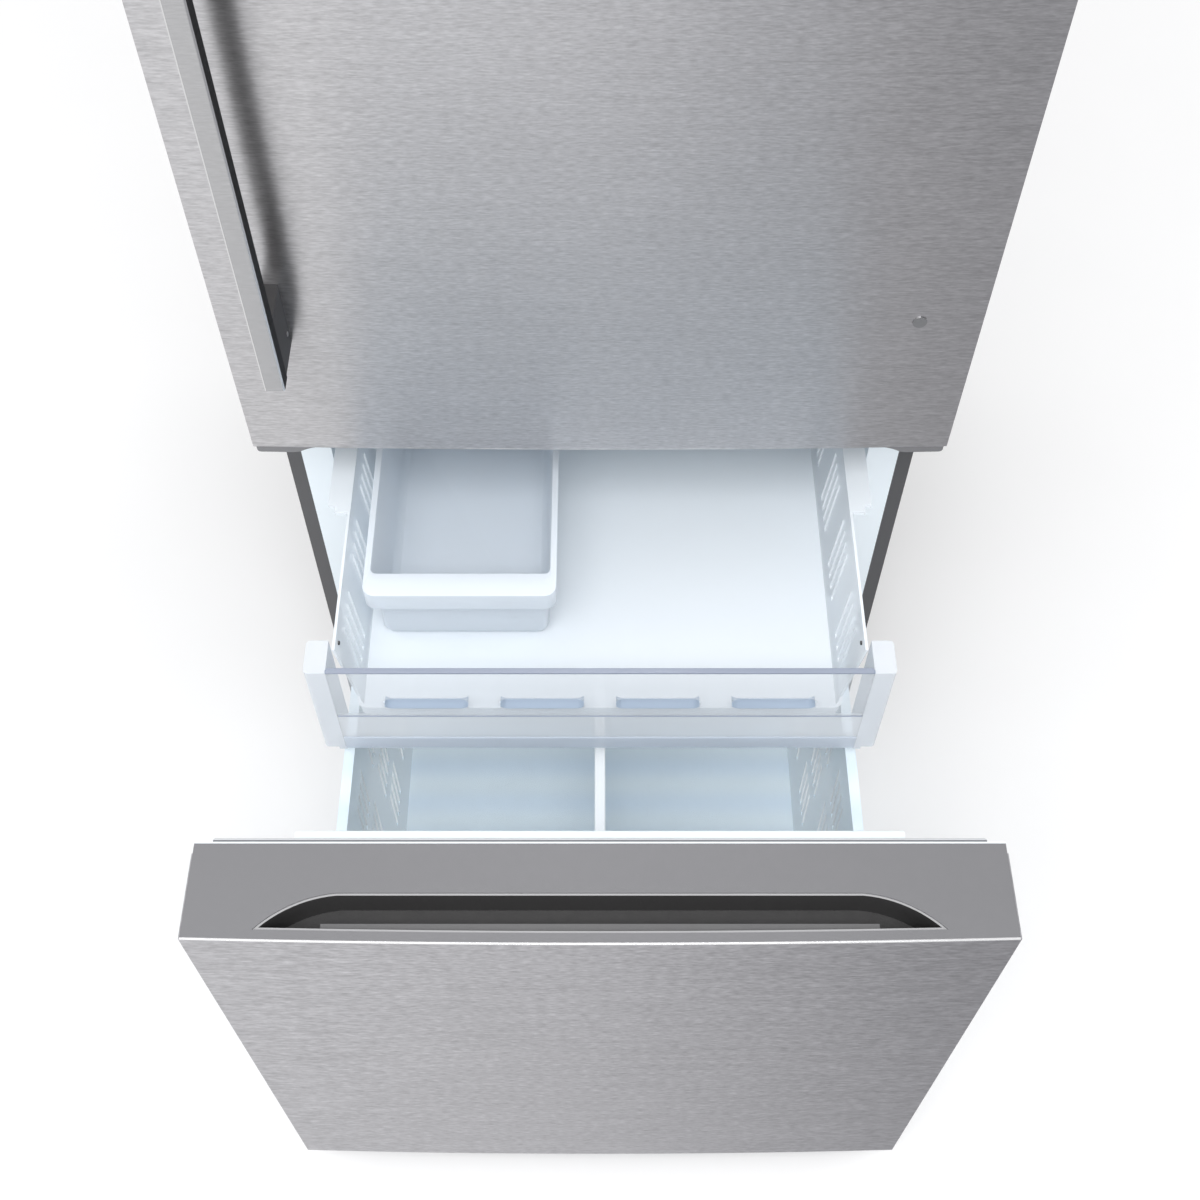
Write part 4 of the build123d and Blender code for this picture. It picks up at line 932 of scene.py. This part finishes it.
dress(make_panel_plastic(), "tray_front_panel")
end_cap_white = finish(
    "end_cap_white",
    (0.78, 0.82, 0.87),
    0.36,
    grain=900.0,
    depth=0.03,
    tone=0.03,
    dust=0.0,
    Alpha=0.75,
)
dress(end_cap_white, "tray_end_caps")

# Panel ribs: the clear panel is stiffened by a rolled top edge, a thin line below the vents and a
# foot. They are part of the same moulding, thicker, and so look greyer.

rib_ends = 0.001
rib_round = 0.0005
rib_sunk = 0.0002
foot_height = 0.024
edge_grey = finish(
    "edge_grey", (0.33, 0.37, 0.46), 0.2, grain=500.0, depth=0.03, dust=0.0, Alpha=0.92
)
foot_grey = finish(
    "foot_grey", (0.66, 0.73, 0.83), 0.2, grain=500.0, depth=0.03, dust=0.0, Alpha=0.6
)
front_low, front_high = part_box("tray_front_panel")
panel_height = front_high[2] - front_low[2]
ribs = (
    ("rail", 0.0022, -0.0008, 0.0055, 0.0008, edge_grey),
    ("line", 0.0945, 0.0932, rib_sunk, 0.0011, edge_grey),
    ("foot", panel_height, panel_height - foot_height, rib_sunk, 0.0020, foot_grey),
)
for label, drop_low, drop_high, back, proud, shade in ribs:
    low = (front_low[0] + rib_ends, front_low[1] - proud, front_high[2] - drop_low)
    high = (front_high[0] - rib_ends, front_low[1] + back, front_high[2] - drop_high)
    moulded_bar(f"panel_{label}", low, high, rib_round, shade, "tray")

# Vent sills: a shallow scoop behind the foot of each vent, moulded with the panel, that keeps
# small things from sliding out. Their grey blue is painted shade, for the shade seen through the
# vents.

vent_half = 0.048
vent_radius = 0.0105
vent_drop = 0.067
vent_pitch = 0.129
vent_count = 4
sill_depth = 0.013
sill_cut = 0.005
sill_wall = 0.0012
sill_inset = 0.0001
sill_start = 0.0003


def select_parts(piece, kind, wanted):
    """In edit mode, selects the points or edges whose ends all pass the test."""
    bpy.ops.mesh.select_mode(type=kind)
    bpy.ops.mesh.select_all(action="DESELECT")
    bpy.ops.object.mode_set(mode="OBJECT")
    points = piece.data.vertices
    if kind == "VERT":
        for point in points:
            point.select = wanted(point.co)
    else:
        for edge in piece.data.edges:
            edge.select = all(wanted(points[index].co) for index in edge.vertices)
    bpy.ops.object.mode_set(mode="EDIT")


def vent_sill(level):
    """Foot of a round-ended outline, drawn back from the panel and given its wall."""
    bpy.ops.object.select_all(action="DESELECT")
    bpy.ops.mesh.primitive_circle_add(
        vertices=32,
        radius=vent_radius - sill_inset,
        location=(0, front_low[1] + sill_start, level),
        rotation=(math.pi / 2, 0, 0),
    )
    sill = bpy.context.object
    bpy.ops.object.transform_apply(location=True, rotation=True, scale=True)
    bpy.ops.object.mode_set(mode="EDIT")
    for side in (-1, 1):
        select_parts(sill, "VERT", lambda point: point.x * side > slack)
        bpy.ops.transform.translate(value=(side * (vent_half - vent_radius), 0, 0))
    select_parts(sill, "VERT", lambda point: point.z > level - sill_cut)
    bpy.ops.mesh.delete(type="VERT")
    bpy.ops.mesh.select_mode(type="EDGE")
    bpy.ops.mesh.select_all(action="SELECT")
    bpy.ops.mesh.extrude_edges_move(TRANSFORM_OT_translate={"value": (0, sill_depth, 0)})
    bpy.ops.object.mode_set(mode="OBJECT")
    wall = sill.modifiers.new("wall", "SOLIDIFY")
    wall.thickness = sill_wall
    wall.offset = 0.0
    bpy.ops.object.modifier_apply(modifier=wall.name)
    return sill


# Painted shade: the sills' darker grey blue.
sill_shade_blue = finish("sill_shade_blue", (0.35, 0.43, 0.54), 0.36, grain=900.0, depth=0.03, dust=0.0)
pattern = vent_sill(front_high[2] - vent_drop)
for count in range(vent_count):
    across = (count - (vent_count - 1) / 2) * vent_pitch
    sill = copy_to(pattern, f"vent_sill_{count}", (across, 0, 0))
    settle(sill, sill_shade_blue, "tray", smooth=40.0)
bpy.data.meshes.remove(pattern.data)

# Tray pegs: small dark pins through the tub's sides near the front, which the panel's end caps
# hook on. They are moulded plastic, pushed in from outside.

peg_radius = 0.0024
peg_half = 0.2835
peg_back = 0.030
peg_rise = 0.006
pattern = screw_head(20, peg_radius, pan_height, pan_profile)
for side, label in ((-1, "left"), (1, "right")):
    place = (side * peg_half, front_high[1] + peg_back, front_high[2] + peg_rise)
    peg = copy_to(pattern, f"tray_peg_{label}", place, (0, -side * math.pi / 2, 0))
    settle(peg, black_plastic, "tray")
bpy.data.meshes.remove(pattern.data)

# Ice bin: thin milky plastic with rounded corners, drawn in towards its floor. Its flat rim is
# wide at the front and turns down there into a lip to lift it by.

bin_wall = 0.0025
bin_corner = 0.014
bin_round = 0.0007
bin_lean = 0.016
rim_side = 0.007
rim_front = 0.030
mouth_step = (0.004, 0.0012)
bin_draft = 0.0056
floor_steps = ((0.008, 0.0035), (0.006, 0.0065))
mouth_pick = (0.02, 0.06)
lip_pick = (0.0005, 0.001)
lip_folds = ((0, 0.0006, -0.027), (0, 0.002, -0.003))
bin_white = finish(
    "bin_white",
    (0.83, 0.895, 0.965),
    0.36,
    grain=900.0,
    depth=0.02,
    tone=0.02,
    dust=0.0,
    Alpha=0.8,
    Specular_IOR_Level=0.3,
)


def make_ice_bin():
    """Bin from its rim's outline: inset to the mouth, drawn down in steps, its lip folded."""
    low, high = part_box("ice_bin")
    top = high[2]
    middle = ((low[0] + high[0]) / 2, (low[1] + high[1]) / 2, top)
    bpy.ops.object.select_all(action="DESELECT")
    bpy.ops.mesh.primitive_plane_add(size=1, location=middle)
    piece = bpy.context.object
    piece.name = "ice_bin_shell"
    piece.scale = (high[0] - low[0], high[1] - low[1], 1)
    bpy.ops.object.transform_apply(location=True, rotation=True, scale=True)
    bpy.ops.object.mode_set(mode="EDIT")
    bpy.ops.mesh.select_all(action="SELECT")
    bpy.ops.mesh.bevel(offset=bin_corner, segments=6, affect="VERTICES")
    bpy.ops.mesh.select_all(action="SELECT")
    bpy.ops.mesh.inset(thickness=rim_side)
    mouth_half = high[0] - rim_side + slack - middle[0]
    mouth_front = low[1] + rim_side - slack
    select_parts(
        piece,
        "VERT",
        lambda point: mouth_front < point.y < middle[1]
        and abs(point.x - middle[0]) < mouth_half,
    )
    bpy.ops.transform.translate(value=(0, rim_front - rim_side, 0))
    select_faces(
        piece,
        lambda centre, normal: abs(centre.x - middle[0]) < mouth_pick[0]
        and abs(centre.y - middle[1]) < mouth_pick[1],
    )
    depth = top - low[2] - bin_wall
    centre = (middle[0], middle[1] + (rim_front - rim_side) / 2, top)
    width = high[0] - low[0] - 2 * rim_side
    length = high[1] - rim_side + slack - low[1] - rim_front
    wall_drop = depth - mouth_step[0] - sum(drop for drop, inwards in floor_steps)
    for drop, inwards in (mouth_step, (wall_drop, bin_draft), *floor_steps):
        bpy.ops.mesh.extrude_region_move(TRANSFORM_OT_translate={"value": (0, 0, -drop)})
        shrink = (1 - 2 * inwards / width, 1 - 2 * inwards / length, 1)
        bpy.ops.transform.resize(value=shrink, center_override=centre)
        bpy.ops.transform.translate(value=(0, -bin_lean * drop / depth, 0))
    lip_back, lip_low = low[1] + bin_corner + lip_pick[0], top - lip_pick[1]
    select_parts(piece, "EDGE", lambda point: point.y < lip_back and point.z > lip_low)
    for fold in lip_folds:
        bpy.ops.mesh.extrude_edges_move(TRANSFORM_OT_translate={"value": fold})
    bpy.ops.mesh.select_all(action="SELECT")
    bpy.ops.mesh.normals_make_consistent(inside=False)
    bpy.ops.object.mode_set(mode="OBJECT")
    return piece


bin_piece = make_ice_bin()
rim_face = max(bin_piece.data.polygons, key=lambda face: face.center.z)
if rim_face.normal.z < 0:
    bpy.ops.object.mode_set(mode="EDIT")
    bpy.ops.mesh.flip_normals()
    bpy.ops.object.mode_set(mode="OBJECT")
for kind, values in (
    ("SOLIDIFY", {"thickness": bin_wall, "offset": -1.0, "use_quality_normals": True}),
    ("BEVEL", {"width": bin_round, "segments": 2, "limit_method": "ANGLE"}),
):
    change = bin_piece.modifiers.new(kind.lower(), kind)
    for key, value in values.items():
        setattr(change, key, value)
    bpy.ops.object.modifier_apply(modifier=change.name)
settle(bin_piece, bin_white, "ice_bin", smooth=25.0)
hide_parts("ice_bin")

# Cooling system: a sealed black compressor, finned coils of aluminium on tube, and dark fan
# motors. They sit in the bay at the back and behind the white cover in the freezer.

compressor_black = finish(
    "compressor_black",
    (0.018, 0.018, 0.019),
    0.3,
    grain=250.0,
    depth=0.12,
    dust=0.5,
    Coat_Weight=0.3,
)
dress(compressor_black, "compressor")
fin_metal = finish(
    "fin_metal", (0.62, 0.63, 0.64), 0.34, grain=700.0, depth=0.1, dust=0.15, Metallic=1.0
)
dress(fin_metal, "condenser", "evaporator")
dress(black_plastic, "fan_motors", "condenser_fan", "drain_pan")

# Studio: a pale floor that takes the shadow, soft lamps and an even sky. Metal and glass see the
# studio fall off from white on the left to grey on the right, as a lamp on one side leaves it.

white = (1.0, 1.0, 1.0)
studio_right = (0.43, 0.43, 0.445)
floor_reach = 0.9
sky_reach = 0.7
floor_size = 30
lamp_aim = (0, -0.4, 0.4)
lamps = (
    ("key_lamp", (-0.8, -1.75, 3.2), 1.2, 21),
    ("front_lamp", (0.15, -1.6, 3.0), 0.9, 25),
)


def mirrored_tone(tree, across, reach):
    """Grey from white on the left to the studio's right, for what metal and glass see."""
    span = tree.nodes.new("ShaderNodeMapRange")
    span.interpolation_type = "SMOOTHSTEP"
    span.inputs["From Min"].default_value = -reach
    span.inputs["From Max"].default_value = reach
    tree.links.new(across, span.inputs["Value"])
    return blend_colours(tree, span.outputs[0], white, studio_right)


stage_floor = finish(
    "studio_floor", (0.95, 0.95, 0.955), 0.6, grain=20.0, depth=0.0, tone=0.01, dust=0.0
)
tree = stage_floor.node_tree
glow = tree.nodes.new("ShaderNodeEmission")
tree.links.new(mirrored_tone(tree, place_of(tree)["X"], floor_reach), glow.inputs["Color"])
ray = tree.nodes.new("ShaderNodeLightPath")
choice = tree.nodes.new("ShaderNodeMixShader")
tree.links.new(ray.outputs["Is Glossy Ray"], choice.inputs["Fac"])
tree.links.new(tree.nodes["Principled BSDF"].outputs[0], choice.inputs[1])
tree.links.new(glow.outputs[0], choice.inputs[2])
tree.links.new(choice.outputs[0], tree.nodes["Material Output"].inputs["Surface"])
bpy.ops.object.select_all(action="DESELECT")
bpy.ops.mesh.primitive_plane_add(size=floor_size, location=(0, 0, 0))
floor = bpy.context.object
floor.name = "studio_floor"
floor.data.materials.append(stage_floor)

world = bpy.data.worlds.new("studio_sky")
bpy.context.scene.world = world
world.use_nodes = True
tree = world.node_tree
ray = tree.nodes.new("ShaderNodeLightPath")
where = tree.nodes.new("ShaderNodeTexCoord").outputs["Generated"]
tone = mirrored_tone(tree, axes(tree, where)["X"], sky_reach)
seen = blend_colours(tree, ray.outputs["Is Glossy Ray"], white, tone)
tree.links.new(seen, tree.nodes["Background"].inputs["Color"])


def soft_lamp(name, place, size, power):
    """Large square lamp that points at the open drawer."""
    light = bpy.data.lights.new(name, "AREA")
    light.shape = "SQUARE"
    light.size = size
    light.energy = power
    lamp = bpy.data.objects.new(name, light)
    bpy.context.scene.collection.objects.link(lamp)
    lamp.location = place
    way = [a - b for a, b in zip(lamp_aim, place)]
    tilt = math.pi / 2 + math.atan2(way[2], math.hypot(way[0], way[1]))
    lamp.rotation_euler = (tilt, 0, math.atan2(way[1], way[0]) - math.pi / 2)


for name, place, size, power in lamps:
    soft_lamp(name, place, size, power)

# Camera: above and in front of the refrigerator, looking down past the door into the open
# drawer through a normal lens.

camera_place = (0, -1.2075, 2.085)
camera_down = 56.15

camera_data = bpy.data.cameras.new("photo_camera")
camera_data.sensor_width = 36
camera_data.lens = 45.73
camera = bpy.data.objects.new("photo_camera", camera_data)
bpy.context.scene.collection.objects.link(camera)
camera.location = camera_place
camera.rotation_euler = (math.radians(90 - camera_down), 0, 0)
bpy.context.scene.camera = camera
bpy.context.scene.view_settings.view_transform = "Standard"
